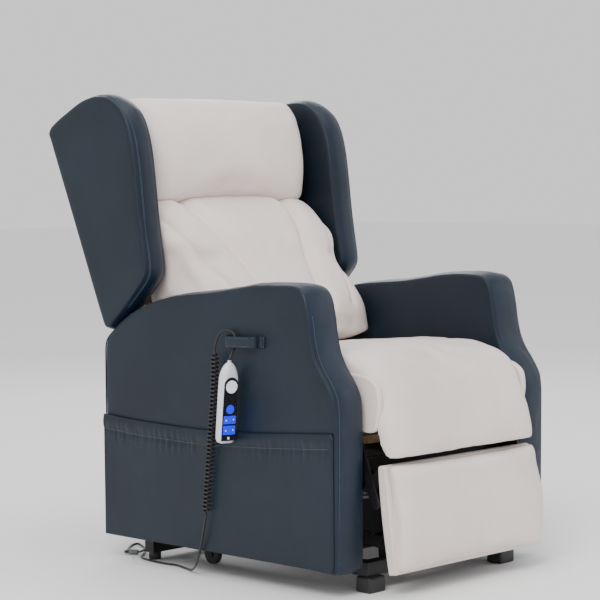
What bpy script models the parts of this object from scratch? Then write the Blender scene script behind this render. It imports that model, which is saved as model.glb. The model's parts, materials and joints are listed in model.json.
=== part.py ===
"""Powered lift recliner chair: floor frame, lift linkage, chassis, backrest, leg rest, handset and cord.

The chair faces -Y with +Z up. Sizes are in metres. Every shape is placed in the chair's own frame, where
the seat is symmetric about x = 0, and the empty chair_frame then shifts the whole chair along X so that
the box around it, handset included, is centred on the origin.
"""
import math

import bmesh
import bpy
from mathutils import Matrix, Vector

# ---- driving dimensions ---------------------------------------------------------------------------
X_CENTRE = 0.0248            # shift that centres the chair and its handset on x = 0
GAP = 0.0003                 # clearance between pieces that touch
ARM_IN = 0.2685              # inner face of an arm
ARM_OUT = 0.36               # outer face of an arm
SEAT_HALF = 0.262            # half width of the seat and back cushions
CHAISE_HALF = 0.2526         # half width of the chaise pad and the leg rest
WING_IN = 0.2976             # inner face of a wing
WING_OUT = 0.3645            # outer face of a wing
PILLOW_HALF = 0.28           # half width of the headrest pillow
SIDE_IN = 0.165              # inner face of a chassis side plate
SIDE_OUT = 0.170             # outer face of a chassis side plate
LIFT_IN = 0.1735             # inner face of a lift arm
LIFT_OUT = 0.1815            # outer face of a lift arm
GUIDE_IN = 0.1535            # inner face of a guide link
GUIDE_OUT = 0.1595           # outer face of a guide link
BRACKET_IN = 0.1555          # inner face of a recline bracket
BRACKET_OUT = 0.1605         # outer face of a recline bracket
LEG_ARM_IN = 0.256           # inner face of a leg rest arm
LEG_ARM_OUT = 0.261          # outer face of a leg rest arm

LIFT_PIVOT = (-0.26, 0.075)          # lift arms on the base (y, z)
CHASSIS_PIVOT = (0.14, 0.085)        # chassis on the lift arms
GUIDE_PIVOT = (-0.369, 0.094)        # guide links on the base
GUIDE_END = (-0.20, 0.12)            # guide links' free ends on the chassis
LIFT_LEVER = (-0.24, 0.175)          # lift rod's pin on the torque tube's lever
LIFT_MOTOR_PIVOT = (0.20, 0.09)      # lift motor on the rear crossbar
RECLINE_PIVOT = (0.12, 0.385)        # backrest on the chassis
RECLINE_BAR = (0.1728, 0.2575)       # bar that the recline rod moves
LEG_PIVOT = (-0.37, 0.40)            # leg rest on the chassis
LEG_LEVER = (-0.3227, 0.3484)        # leg rest rod's pin on its lever
LEG_BAR = (-0.4435, 0.20)            # cross bar behind the leg rest board
WHEEL_AXLE = (0.095, 0.0225)         # transit wheels' axle
WHEEL_X = 0.2325
FRONT_TUBE = (-0.3605, -0.330, 0.255)     # y from, y to, lowest z
REAR_TUBE = (0.005, 0.035, 0.2697)
LEG_MOTOR_X = -0.08
LEG_MOTOR_Z = 0.3378
BACK_MOTOR_X = 0.08

BACK_SLOPE = 0.429                   # rearward lean of the back, dy / dz
BACK_REF = (0.326, 0.562)            # a point of the back's rear plane
PANEL_THICK = 0.012
FRAME_THICK = 0.035

HANDSET_FOOT = (-0.391, -0.115, 0.319)
HANDSET_LEAN = math.radians(6.0)
HANDSET_TURN = math.radians(-10.0)
HANDSET_SIZE = (0.042, 0.028, 0.181)
CORD_RADIUS = 0.0025
COIL_RADIUS = 0.0095

COLLECTION = "lift_recliner_chair"

# name: (base colour, roughness, metallic)
MATERIALS = {
    "navy_leather": ((0.022, 0.038, 0.062), 0.42, 0.0),
    "cream_leather": ((0.70, 0.64, 0.61), 0.50, 0.0),
    "black_steel": ((0.012, 0.012, 0.014), 0.40, 0.9),
    "black_plastic": ((0.015, 0.015, 0.017), 0.45, 0.0),
    "grey_tyre": ((0.05, 0.05, 0.052), 0.75, 0.0),
    "timber": ((0.45, 0.30, 0.17), 0.65, 0.0),
    "silver_plastic": ((0.72, 0.73, 0.75), 0.30, 0.2),
    "blue_key": ((0.004, 0.02, 0.80), 0.35, 0.0),
    "white_key": ((0.85, 0.87, 0.92), 0.30, 0.0),
    "steel_rod": ((0.55, 0.56, 0.58), 0.22, 1.0),
    "black_cord": ((0.010, 0.010, 0.011), 0.40, 0.0),
    "grey_cord": ((0.25, 0.27, 0.27), 0.50, 0.0),
    "white_tie": ((0.80, 0.80, 0.80), 0.50, 0.0),
}


# ---- helpers --------------------------------------------------------------------------------------
def clear_scene():
    for obj in list(bpy.data.objects):
        bpy.data.objects.remove(obj, do_unlink=True)


def make_collection():
    collection = bpy.data.collections.new(COLLECTION)
    bpy.context.scene.collection.children.link(collection)
    return collection


def material(name):
    existing = bpy.data.materials.get(name)
    if existing:
        return existing
    colour, roughness, metallic = MATERIALS[name]
    mat = bpy.data.materials.new(name)
    mat.use_nodes = True
    shader = mat.node_tree.nodes["Principled BSDF"]
    shader.inputs["Base Color"].default_value = (*colour, 1.0)
    shader.inputs["Roughness"].default_value = roughness
    shader.inputs["Metallic"].default_value = metallic
    mat.diffuse_color = (*colour, 1.0)
    return mat


def empty(name, location, parent=None):
    pivot = bpy.data.objects.new(name, None)
    pivot.empty_display_size = 0.05
    pivot.location = location
    pivot.parent = parent
    PARTS.objects.link(pivot)
    return pivot


def new_object(name, mesh, location=(0.0, 0.0, 0.0)):
    obj = bpy.data.objects.new(name, mesh)
    obj.location = location
    PARTS.objects.link(obj)
    return obj


def mesh_from(name, build):
    """Make a mesh with a function that fills a bmesh."""
    mesh = bpy.data.meshes.new(name)
    shape = bmesh.new()
    build(shape)
    shape.to_mesh(mesh)
    shape.free()
    return mesh


def box(name, low, high):
    size = [b - a for a, b in zip(low, high)]
    centre = [(a + b) / 2 for a, b in zip(low, high)]

    def build(shape):
        bmesh.ops.create_cube(shape, size=1.0, matrix=Matrix.Diagonal((*size, 1.0)))
    return new_object(name, mesh_from(name, build), centre)


def cylinder(name, start, end, radius, sides=24):
    start, end = Vector(start), Vector(end)
    axis = end - start
    turn = axis.to_track_quat("Z", "Y").to_matrix().to_4x4()

    def build(shape):
        bmesh.ops.create_cone(shape, cap_ends=True, segments=sides, radius1=radius, radius2=radius,
                              depth=axis.length, matrix=turn)
    obj = new_object(name, mesh_from(name, build), (start + end) / 2)
    obj.data.shade_smooth()
    obj.data.set_sharp_from_angle(angle=math.radians(40))
    return obj


def x_cylinder(name, yz, x_from, x_to, radius, sides=24):
    return cylinder(name, (x_from, *yz), (x_to, *yz), radius, sides)


def to_mesh_object(obj):
    """Replace an object by the mesh that its modifiers or its curve evaluate to."""
    bpy.context.view_layer.update()
    evaluated = obj.evaluated_get(bpy.context.evaluated_depsgraph_get())
    mesh = bpy.data.meshes.new_from_object(evaluated)
    shape = bmesh.new()
    shape.from_mesh(mesh)
    bmesh.ops.remove_doubles(shape, verts=shape.verts, dist=0.00001)
    shape.to_mesh(mesh)
    shape.free()
    name, world = obj.name, obj.matrix_world.copy()
    bpy.data.objects.remove(obj, do_unlink=True)
    result = new_object(name, mesh)
    result.matrix_world = world
    return result


def plate(name, outline, x_from, x_to, round_edges=0.0, segments=2):
    """Extrude an outline given as (y, z) points from x_from to x_to."""
    curve = bpy.data.curves.new(name, "CURVE")
    curve.dimensions = "2D"
    curve.fill_mode = "BOTH"
    curve.extrude = abs(x_to - x_from) / 2
    spline = curve.splines.new("POLY")
    spline.points.add(len(outline) - 1)
    for point, (y, z) in zip(spline.points, outline):
        point.co = (y, z, 0.0, 1.0)
    spline.use_cyclic_u = True
    obj = new_object(name, curve, ((x_from + x_to) / 2, 0.0, 0.0))
    obj.rotation_euler = (math.pi / 2, 0.0, math.pi / 2)
    obj = to_mesh_object(obj)
    if round_edges:
        add_bevel(obj, round_edges, segments)
        obj = to_mesh_object(obj)
    return obj


def add_bevel(obj, width, segments=2, angle=50.0):
    bevel = obj.modifiers.new("round_edges", "BEVEL")
    bevel.width = width
    bevel.segments = segments
    bevel.limit_method = "ANGLE"
    bevel.angle_limit = math.radians(angle)


def tube(name, points, radius, resolution=2):
    curve = bpy.data.curves.new(name, "CURVE")
    curve.dimensions = "3D"
    curve.bevel_depth = radius
    curve.bevel_resolution = resolution
    curve.use_fill_caps = True
    spline = curve.splines.new("POLY")
    spline.points.add(len(points) - 1)
    for point, place in zip(spline.points, points):
        point.co = (*place, 1.0)
    return new_object(name, curve)


def combine(target, tools, operation):
    """Apply Booleans with each tool in turn, then remove the tools."""
    for tool in tools:
        boolean = target.modifiers.new("shape", "BOOLEAN")
        boolean.operation = operation
        boolean.solver = "EXACT"
        boolean.object = tool
        target = to_mesh_object(target)
        bpy.data.objects.remove(tool, do_unlink=True)
    return target


def fuse(target, *tools):
    return combine(target, tools, "UNION")


def cut(target, *tools):
    return combine(target, tools, "DIFFERENCE")


def attach(obj, parent, material_name):
    """Hang a piece on its body's empty without moving it, and colour it."""
    obj.data.materials.clear()
    obj.data.materials.append(material(material_name))
    obj.parent = parent
    obj.matrix_parent_inverse = Matrix.Translation(-parent.location) if parent != CHAIR else Matrix()
    return obj


def mirrored(x_from, x_to, side):
    """An x range on the left (+1) or right (-1) side, in rising order."""
    low, high = side * x_from, side * x_to
    return min(low, high), max(low, high)


def smooth_route(points, step):
    """Points every step metres along a Catmull-Rom curve through the given points."""
    places = [Vector(p) for p in points]
    ends = [2 * places[0] - places[1]] + places + [2 * places[-1] - places[-2]]
    fine = []
    for a, b, c, d in zip(ends, ends[1:], ends[2:], ends[3:]):
        for i in range(12):
            t = i / 12
            fine.append(0.5 * (2 * b + (c - a) * t + (2 * a - 5 * b + 4 * c - d) * t ** 2
                               + (3 * b - a - 3 * c + d) * t ** 3))
    fine.append(places[-1])
    lengths = [0.0]
    for a, b in zip(fine, fine[1:]):
        lengths.append(lengths[-1] + (b - a).length)
    count = max(2, round(lengths[-1] / step))
    route = []
    k = 0
    for i in range(count + 1):
        want = lengths[-1] * i / count
        while k < len(fine) - 2 and lengths[k + 1] < want:
            k += 1
        t = (want - lengths[k]) / (lengths[k + 1] - lengths[k])
        route.append(fine[k].lerp(fine[k + 1], t))
    return route


def bar_outline(start, end, half_width, steps=6):
    """Outline of a flat bar with round ends."""
    angle = math.atan2(end[1] - start[1], end[0] - start[0])
    outline = []
    for centre, first in ((end, angle - math.pi / 2), (start, angle + math.pi / 2)):
        for i in range(steps + 1):
            a = first + math.pi * i / steps
            outline.append((centre[0] + half_width * math.cos(a), centre[1] + half_width * math.sin(a)))
    return outline


# ---- floor frame ----------------------------------------------------------------------------------
def base_rail(side, name):
    low, high = mirrored(0.19, 0.22, side)
    rail = box(name, (low, -0.3767, 0.030), (high, 0.2277, 0.060))
    y, z = LIFT_PIVOT
    ear = plate("ear", [(y - 0.03, 0.032), (y + 0.03, 0.032), (y + 0.016, z + 0.012), (y, z + 0.02),
                        (y - 0.016, z + 0.012)], *mirrored(0.1835, 0.1925, side))
    pin = x_cylinder("pin", LIFT_PIVOT, side * 0.187, side * 0.1745, 0.006)
    low, high = mirrored(0.217, 0.2235, side)
    wy, wz = WHEEL_AXLE
    bracket = box("bracket", (low, wy - 0.012, wz - 0.010), (high, wy + 0.012, 0.045))
    axle = x_cylinder("axle", WHEEL_AXLE, side * 0.220, side * 0.2425, 0.004)
    head = x_cylinder("head", WHEEL_AXLE, side * 0.2405, side * 0.2441, 0.007)
    return attach(fuse(rail, ear, pin, bracket, axle, head), CHAIR, "black_steel")


def base_crossbars():
    front = box("base_front_crossbar", (-0.245, -0.407, 0.036), (0.245, -0.377, 0.066))
    y, z = GUIDE_PIVOT
    for side in (1, -1):
        ear = plate("ear", [(y - 0.030, 0.050), (y + 0.012, 0.060), (y + 0.014, z), (y, z + 0.013),
                            (y - 0.014, z)], *mirrored(0.1472, 0.1532, side))
        pin = x_cylinder("pin", GUIDE_PIVOT, side * 0.150, side * 0.1605, 0.005)
        front = fuse(front, ear, pin)
    attach(front, CHAIR, "black_steel")

    rear = box("base_rear_crossbar", (-0.302, 0.228, 0.018), (0.302, 0.258, 0.050))
    y, z = LIFT_MOTOR_PIVOT
    for side in (1, -1):
        ear = plate("ear", [(0.232, 0.030), (0.254, 0.045), (y + 0.012, z + 0.010), (y, z + 0.013),
                            (y - 0.013, z), (y, z - 0.016)], *mirrored(0.026, 0.032, side))
        rear = fuse(rear, ear)
    rear = fuse(rear, x_cylinder("pin", LIFT_MOTOR_PIVOT, -0.029, 0.029, 0.005))
    attach(rear, CHAIR, "black_steel")


def feet():
    for side, name in ((1, "left"), (-1, "right")):
        low, high = mirrored(0.200, 0.252, side)
        front = box("front_foot_" + name, (low, -0.420, 0.0), (high, -0.3772, 0.036 - GAP))
        add_bevel(front, 0.005)
        attach(to_mesh_object(front), CHAIR, "black_plastic")
        rear = cylinder("rear_foot_" + name, (side * 0.284, 0.243, 0.0), (side * 0.284, 0.243, 0.018 - GAP),
                        0.0145)
        attach(rear, CHAIR, "black_plastic")


def transit_wheel(side, name, pivot):
    x = side * WHEEL_X
    wheel = x_cylinder(name, WHEEL_AXLE, x - 0.007, x + 0.007, 0.0225, 32)
    wheel = cut(wheel, x_cylinder("bore", WHEEL_AXLE, x - 0.02, x + 0.02, 0.0042))
    return attach(wheel, pivot, "grey_tyre")


# ---- lift linkage ---------------------------------------------------------------------------------
def lift_linkage(arms_pivot, guides_pivot):
    for side, name in ((1, "left"), (-1, "right")):
        low, high = mirrored(LIFT_IN, LIFT_OUT, side)
        arm = plate("lift_arm_" + name, bar_outline(LIFT_PIVOT, CHASSIS_PIVOT, 0.020), low, high)
        holes = [x_cylinder("hole", spot, side * 0.16, side * 0.20, 0.0063)
                 for spot in (LIFT_PIVOT, CHASSIS_PIVOT)]
        attach(cut(arm, *holes), arms_pivot, "black_steel")
        low, high = mirrored(GUIDE_IN, GUIDE_OUT, side)
        link = plate("guide_link_" + name, bar_outline(GUIDE_PIVOT, GUIDE_END, 0.0135), low, high)
        near = x_cylinder("hole", GUIDE_PIVOT, side * 0.14, side * 0.17, 0.0053)
        far = x_cylinder("hole", GUIDE_END, side * 0.14, side * 0.17, 0.009)
        attach(cut(link, near, far), guides_pivot, "black_steel")
    torque = x_cylinder("lift_torque_tube", LIFT_PIVOT, -LIFT_IN + GAP, LIFT_IN - GAP, 0.015)
    for side in (1, -1):
        lever = plate("lever", bar_outline(LIFT_PIVOT, LIFT_LEVER, 0.013), *mirrored(0.010, 0.016, side))
        torque = fuse(torque, lever)
    torque = fuse(torque, x_cylinder("pin", LIFT_LEVER, -0.013, 0.013, 0.005))
    attach(torque, arms_pivot, "black_steel")


def along(start, end, distance):
    """The (y, z) point at a distance from start towards end."""
    a, b = Vector(start), Vector(end)
    return tuple(a + (b - a).normalized() * distance)


def lift_actuator(motor_pivot, rod_pivot):
    rear, tip = LIFT_MOTOR_PIVOT, LIFT_LEVER
    motor = cylinder("lift_motor", (0, *along(rear, tip, 0.018)), (0, *along(rear, tip, 0.235)), 0.021)
    gearbox = cylinder("gearbox", (0, *along(rear, tip, 0.030)), (0, *along(rear, tip, 0.095)), 0.025)
    tail = plate("tail", bar_outline(rear, along(rear, tip, 0.025), 0.011), -0.012, 0.012)
    bore = cylinder("bore", (0, *along(rear, tip, 0.10)), (0, *along(rear, tip, 0.30)), 0.0098)
    eye = x_cylinder("eye", rear, -0.02, 0.02, 0.0053)
    attach(cut(fuse(motor, gearbox, tail), bore, eye), motor_pivot, "black_plastic")
    rod = cylinder("lift_rod", (0, *along(rear, tip, 0.120)), (0, *along(rear, tip, 0.436)), 0.009)
    end = x_cylinder("end", tip, -0.006, 0.006, 0.018)
    hole = x_cylinder("hole", tip, -0.02, 0.02, 0.0115)
    attach(cut(fuse(rod, end), hole), rod_pivot, "steel_rod")


# ---- chassis --------------------------------------------------------------------------------------
def chassis_side(side, name):
    outline = [(-0.360, 0.2997), (-0.360, 0.25), (-0.235, 0.10), (-0.17, 0.095), (0.11, 0.062), (0.165, 0.062),
               (0.165, 0.30), (0.145, 0.405), (0.135, 0.412), (0.105, 0.412), (0.098, 0.405), (0.098, 0.2997)]
    side_plate = plate("chassis_side_" + name, outline, *mirrored(SIDE_IN, SIDE_OUT, side))
    lower = x_cylinder("pin", CHASSIS_PIVOT, side * 0.168, side * 0.1825, 0.006)
    guide = x_cylinder("pin", GUIDE_END, side * 0.167, side * 0.1525, 0.005)
    recline = x_cylinder("pin", RECLINE_PIVOT, side * 0.167, side * 0.1545, 0.006)
    side_plate = fuse(side_plate, lower, guide, recline)
    notches = [box("notch", (-0.3, y_low - GAP, z_low - GAP), (0.3, y_high + GAP, 0.32))
               for y_low, y_high, z_low in (FRONT_TUBE, REAR_TUBE)]
    return attach(cut(side_plate, *notches), CHASSIS, "black_steel")


def chassis_tubes():
    low, high, z = FRONT_TUBE
    front = box("chassis_front_tube", (-0.2682, low, z), (0.2682, high, z + 0.03))
    y, top = LEG_PIVOT
    for side in (1, -1):
        outline = [(low + 0.003, z + 0.003), (high - 0.003, z + 0.003), (high - 0.003, z + 0.04),
                   (y + 0.013, top - 0.005), (y + 0.010, top + 0.009), (y, top + 0.013),
                   (y - 0.010, top + 0.009), (y - 0.013, top - 0.005)]
        riser = plate("riser", outline, *mirrored(0.2625, 0.2656, side))
        pin = x_cylinder("pin", LEG_PIVOT, side * 0.264, side * 0.2570, 0.005)
        front = fuse(front, riser, pin)
    attach(front, CHASSIS, "black_steel")
    low, high, z = REAR_TUBE
    attach(box("chassis_rear_tube", (-0.2682, low, z), (0.2682, high, z + 0.0297)), CHASSIS, "black_steel")


def seat_deck():
    deck = box("seat_deck", (-0.262, -0.27, 0.30), (0.262, 0.06, 0.318))
    attach(deck, CHASSIS, "timber")


def control_box():
    case = box("control_box", (-0.255, 0.12, 0.125), (-0.187, 0.225, 0.175))
    add_bevel(case, 0.004)
    case = to_mesh_object(case)
    flange = box("flange", (-0.2682, 0.13, 0.140), (-0.250, 0.215, 0.160))
    gland = cylinder("gland", (-0.205, 0.220, 0.15), (-0.205, 0.240, 0.15), 0.006)
    inlet = box("inlet", (-0.2505, 0.215, 0.1405), (-0.2235, 0.24, 0.1595))
    attach(cut(fuse(case, flange, gland), inlet), CHASSIS, "black_plastic")


ARM_OUTLINE = [(0.326, 0.061), (0.326, 0.495), (0.324, 0.516), (0.302, 0.546), (0.246, 0.583), (0.157, 0.620),
               (0.104, 0.632), (0.035, 0.641), (-0.053, 0.650), (-0.118, 0.659), (-0.181, 0.668), (-0.267, 0.673),
               (-0.315, 0.669), (-0.333, 0.654), (-0.345, 0.605), (-0.352, 0.56), (-0.361, 0.525), (-0.375, 0.497),
               (-0.398, 0.466), (-0.415, 0.438), (-0.4205, 0.41), (-0.4215, 0.36), (-0.419, 0.052), (-0.34, 0.061)]
WALL = 0.012


def arm(side, name):
    cover = plate("arm_cover_" + name, ARM_OUTLINE, *mirrored(ARM_IN, ARM_OUT, side), 0.009)
    low, high = mirrored(ARM_IN + WALL, ARM_OUT - WALL, side)
    attach(cut(cover, box("hollow", (low, -0.392, 0.0), (high, 0.314, 0.44))), CHASSIS, "navy_leather")
    low, high = mirrored(ARM_IN + WALL + GAP, ARM_IN + WALL + 0.018, side)
    attach(box("arm_board_" + name, (low, -0.390, 0.068), (high, 0.312, 0.438)), CHASSIS, "timber")


POCKET_TOP = [(-0.416, 0.360), (-0.30, 0.352), (-0.15, 0.342), (-0.03, 0.338), (0.065, 0.338), (0.239, 0.343),
              (0.326, 0.349)]


def side_pocket():
    outline = [(0.326, 0.064)] + POCKET_TOP[::-1] + [(-0.416, 0.064)]
    panel = plate("side_pocket", outline, -0.3668, -ARM_OUT - GAP)
    attach(cut(panel, box("space", (-0.3648, -0.404, 0.074), (-0.35, 0.314, 0.5))), CHASSIS, "navy_leather")


def handset_strap():
    strap = box("handset_strap", (-0.3845, -0.215, 0.529), (-ARM_OUT - GAP, -0.092, 0.557))
    loop = box("loop", (-0.3815, -0.201, 0.5), (-0.35, -0.103, 0.6))
    attach(cut(strap, loop), CHASSIS, "navy_leather")


def seat_cushions():
    outline = [(0.088, 0.362), (0.088, 0.490), (0.06, 0.499), (0.0, 0.503), (-0.096, 0.512), (-0.167, 0.517),
               (-0.272, 0.520), (-0.272, 0.362)]
    attach(plate("seat_cushion", outline, -SEAT_HALF, SEAT_HALF, 0.008), CHASSIS, "cream_leather")
    outline = [(-0.2735, 0.425), (-0.2735, 0.520), (-0.326, 0.520), (-0.370, 0.513), (-0.413, 0.500),
               (-0.435, 0.486), (-0.452, 0.458), (-0.469, 0.421), (-0.482, 0.385), (-0.491, 0.345),
               (-0.465, 0.340), (-0.445, 0.365), (-0.441, 0.400), (-0.425, 0.425)]
    attach(plate("chaise_pad", outline, -CHAISE_HALF, CHAISE_HALF, 0.006), CHASSIS, "cream_leather")


# ---- leg rest -------------------------------------------------------------------------------------
def leg_rest(pivot):
    board = plate("legrest_board", [(-0.447, 0.272), (-0.473, 0.052), (-0.485, 0.052), (-0.459, 0.272)],
                  -0.246, 0.246)
    attach(board, pivot, "timber")
    outline = [(-0.4595, 0.276), (-0.4857, 0.050), (-0.497, 0.048), (-0.510, 0.060), (-0.518, 0.082),
               (-0.519, 0.114), (-0.515, 0.181), (-0.507, 0.215), (-0.500, 0.245), (-0.486, 0.276), (-0.474, 0.281)]
    attach(plate("legrest_pad", outline, -CHAISE_HALF, CHAISE_HALF, 0.006), pivot, "cream_leather")

    frame = x_cylinder("legrest_frame", LEG_PIVOT, -0.2562, 0.2562, 0.008)
    frame = fuse(frame, x_cylinder("bar", LEG_BAR, -0.2562, 0.2562, 0.008))
    for side in (1, -1):
        arm_plate = plate("arm", bar_outline(LEG_PIVOT, LEG_BAR, 0.011), *mirrored(LEG_ARM_IN, LEG_ARM_OUT, side))
        frame = fuse(frame, arm_plate)
        frame = cut(frame, x_cylinder("hole", LEG_PIVOT, side * 0.2565, side * 0.263, 0.0054))
        lever = plate("lever", bar_outline(LEG_PIVOT, LEG_LEVER, 0.010),
                      *mirrored(0.0075, 0.0125, side))
        lever.location.x += LEG_MOTOR_X
        frame = fuse(frame, lever)
    pin = x_cylinder("pin", LEG_LEVER, LEG_MOTOR_X - 0.010, LEG_MOTOR_X + 0.010, 0.005)
    attach(fuse(frame, pin), pivot, "black_steel")


def leg_rest_actuator(rod_pivot):
    x, z = LEG_MOTOR_X, LEG_MOTOR_Z
    motor = box("legrest_motor", (x - 0.020, -0.205, 0.3183), (x + 0.020, -0.03, z + 0.0167))
    bore = cylinder("bore", (x, -0.30, z), (x, -0.06, z), 0.0078)
    attach(cut(motor, bore), CHASSIS, "black_plastic")
    y = LEG_LEVER[0]
    rod = cylinder("legrest_rod", (x, -0.075, z), (x, y + 0.008, z), 0.007)
    yoke = box("yoke", (x - 0.005, y - 0.0140, 0.3135), (x + 0.005, y + 0.0140, 0.3625))
    slot = box("slot", (x - 0.02, y - 0.0078, 0.3215), (x + 0.02, y + 0.0078, 0.3555))
    attach(cut(fuse(rod, yoke), slot), rod_pivot, "steel_rod")


def recline_actuator(rod_pivot):
    x, z = BACK_MOTOR_X, 0.2575
    motor = cylinder("back_motor", (x, -0.25, z), (x, -0.085, z), 0.018)
    tail = cylinder("tail", (x, FRONT_TUBE[1] + GAP, z), (x, -0.24, z), 0.009)
    bore = cylinder("bore", (x, -0.235, z), (x, 0.0, z), 0.0088)
    attach(cut(fuse(motor, tail), bore), CHASSIS, "black_plastic")
    y = RECLINE_BAR[0]
    rod = cylinder("back_rod", (x, -0.120, z), (x, y - 0.009, z), 0.008)
    yoke = box("yoke", (x - 0.006, y - 0.015, 0.2285), (x + 0.006, y + 0.015, 0.2745))
    slot = box("slot", (x - 0.02, y - 0.0078, 0.2375), (x + 0.02, y + 0.0078, 0.2665))
    attach(cut(fuse(rod, yoke), slot), rod_pivot, "steel_rod")


# ---- backrest -------------------------------------------------------------------------------------
def back_y(z, inset=0.0):
    """Y of the back's sloping rear plane at height z, moved forward by inset."""
    return BACK_REF[0] + (z - BACK_REF[1]) * BACK_SLOPE - inset


def back_slab(name, z_low, z_high, rear_inset, front_inset, half):
    outline = [(back_y(z_low, rear_inset), z_low), (back_y(z_high, rear_inset), z_high),
               (back_y(z_high, front_inset), z_high), (back_y(z_low, front_inset), z_low)]
    return plate(name, outline, -half, half)


def backrest(pivot):
    frame_rear = PANEL_THICK + GAP
    frame_front = frame_rear + FRAME_THICK
    frame = back_slab("back_frame", 0.432, 0.995, frame_rear, frame_front, 0.255)
    frame = fuse(frame, back_slab("wide", 0.63, 0.985, frame_rear, frame_front, WING_IN - GAP))
    attach(frame, pivot, "timber")
    panel = back_slab("back_panel", 0.432, 1.008, 0.0, PANEL_THICK, 0.260)
    panel = fuse(panel, back_slab("wide", 0.63, 1.000, 0.0, PANEL_THICK, WING_IN - GAP))
    attach(panel, pivot, "navy_leather")

    face = frame_front + GAP
    outline = [(0.005, 0.508), (0.004, 0.540), (0.020, 0.600), (0.070, 0.680), (0.128, 0.755), (0.190, 0.820),
               (0.232, 0.850), (back_y(0.850, face), 0.850), (back_y(0.512, face), 0.512)]
    attach(plate("back_cushion", outline, -SEAT_HALF, SEAT_HALF, 0.012), pivot, "cream_leather")
    outline = [(back_y(0.855, face), 0.855), (0.242, 0.855), (0.228, 0.900), (0.232, 0.960), (0.250, 1.030),
               (0.275, 1.075), (0.310, 1.100), (0.350, 1.103), (0.400, 1.090),
               (0.440, 1.060), (back_y(0.995, face), 0.995)]
    attach(plate("headrest_pillow", outline, -PILLOW_HALF, PILLOW_HALF, 0.012), pivot, "cream_leather")
    for side, name in ((1, "left"), (-1, "right")):
        attach(plate("wing_" + name, WING_OUTLINE, *mirrored(WING_IN, WING_OUT, side), 0.008), pivot, "navy_leather")
        y, z = RECLINE_PIVOT
        outline = [(y - 0.016, z), (y - 0.011, z + 0.012), (y, z + 0.017), (back_y(0.505, face) - 0.03, 0.500),
                   (back_y(0.505, face), 0.505), (back_y(0.436, face), 0.436), (y + 0.022, z - 0.010),
                   (RECLINE_BAR[0] + 0.010, RECLINE_BAR[1]), (RECLINE_BAR[0] + 0.003, RECLINE_BAR[1] - 0.010),
                   (RECLINE_BAR[0] - 0.010, RECLINE_BAR[1] - 0.003), (y - 0.008, z - 0.014)]
        bracket = plate("recline_bracket_" + name, outline, *mirrored(BRACKET_IN, BRACKET_OUT, side))
        bracket = cut(bracket, x_cylinder("hole", RECLINE_PIVOT, side * 0.14, side * 0.18, 0.0063))
        if side == 1:
            reach = BRACKET_IN - GAP
            bracket = fuse(bracket, x_cylinder("bar", RECLINE_BAR, -reach, side * 0.158, 0.006))
        attach(bracket, pivot, "black_steel")


WING_OUTLINE = [(0.305, 0.557), (0.3165, 0.553), (0.326, 0.562), (0.514, 1.000), (0.5205, 1.015), (0.507, 1.034),
                (0.448, 1.067), (0.391, 1.092), (0.345, 1.099), (0.300, 1.094), (0.255, 1.066), (0.232, 1.035),
                (0.216, 0.990), (0.205, 0.930), (0.193, 0.830), (0.184, 0.770), (0.172, 0.700), (0.176, 0.678),
                (0.195, 0.657), (0.250, 0.605)]


# ---- handset --------------------------------------------------------------------------------------
# local frame of the handset: z = 0 at its foot, -y is the key side
FACE_WIDTH = 0.036
FACE_TOP = 0.149
FACE_DEPTH = 0.0022
# name: (height of the centre above the foot, width, height, round)
BUTTONS = {
    "button_white": (0.128, 0.0287, 0.0287, True),
    "button_blue": (0.0775, 0.020, 0.020, True),
    "button_upper": (0.0540, 0.031, 0.0175, False),
    "button_lower": (0.0310, 0.031, 0.0195, False),
}
BUTTON_GAP = 0.0005
BUTTON_PROUD = 0.0016


def face_cylinder(name, height, radius, y_from, y_to, sides=32):
    return cylinder(name, (0, y_from, height), (0, y_to, height), radius, sides)


def face_strip(name, grow, y_from, y_to):
    """The key panel's outline, a strip with an arched top, grown by a margin."""
    half = FACE_WIDTH / 2 + grow
    arch = [(half * math.cos(math.pi * i / 10), FACE_TOP - half + half * math.sin(math.pi * i / 10))
            for i in range(11)]
    outline = arch + [(-half, 0.007 - grow), (half, 0.007 - grow)]
    strip = plate(name, [(-a, b) for a, b in outline], y_from, y_to)
    strip.matrix_world = Matrix.Rotation(-math.pi / 2, 4, "Z") @ strip.matrix_world
    return strip


def place_on_handset(obj, pivot, material_name):
    """Hang a piece, made in the handset's local frame, on an empty that sits in that frame."""
    obj.data.materials.clear()
    obj.data.materials.append(material(material_name))
    obj.parent = pivot
    obj.matrix_parent_inverse = Matrix.Translation(-pivot.location) if pivot != HANDSET else Matrix()


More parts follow.
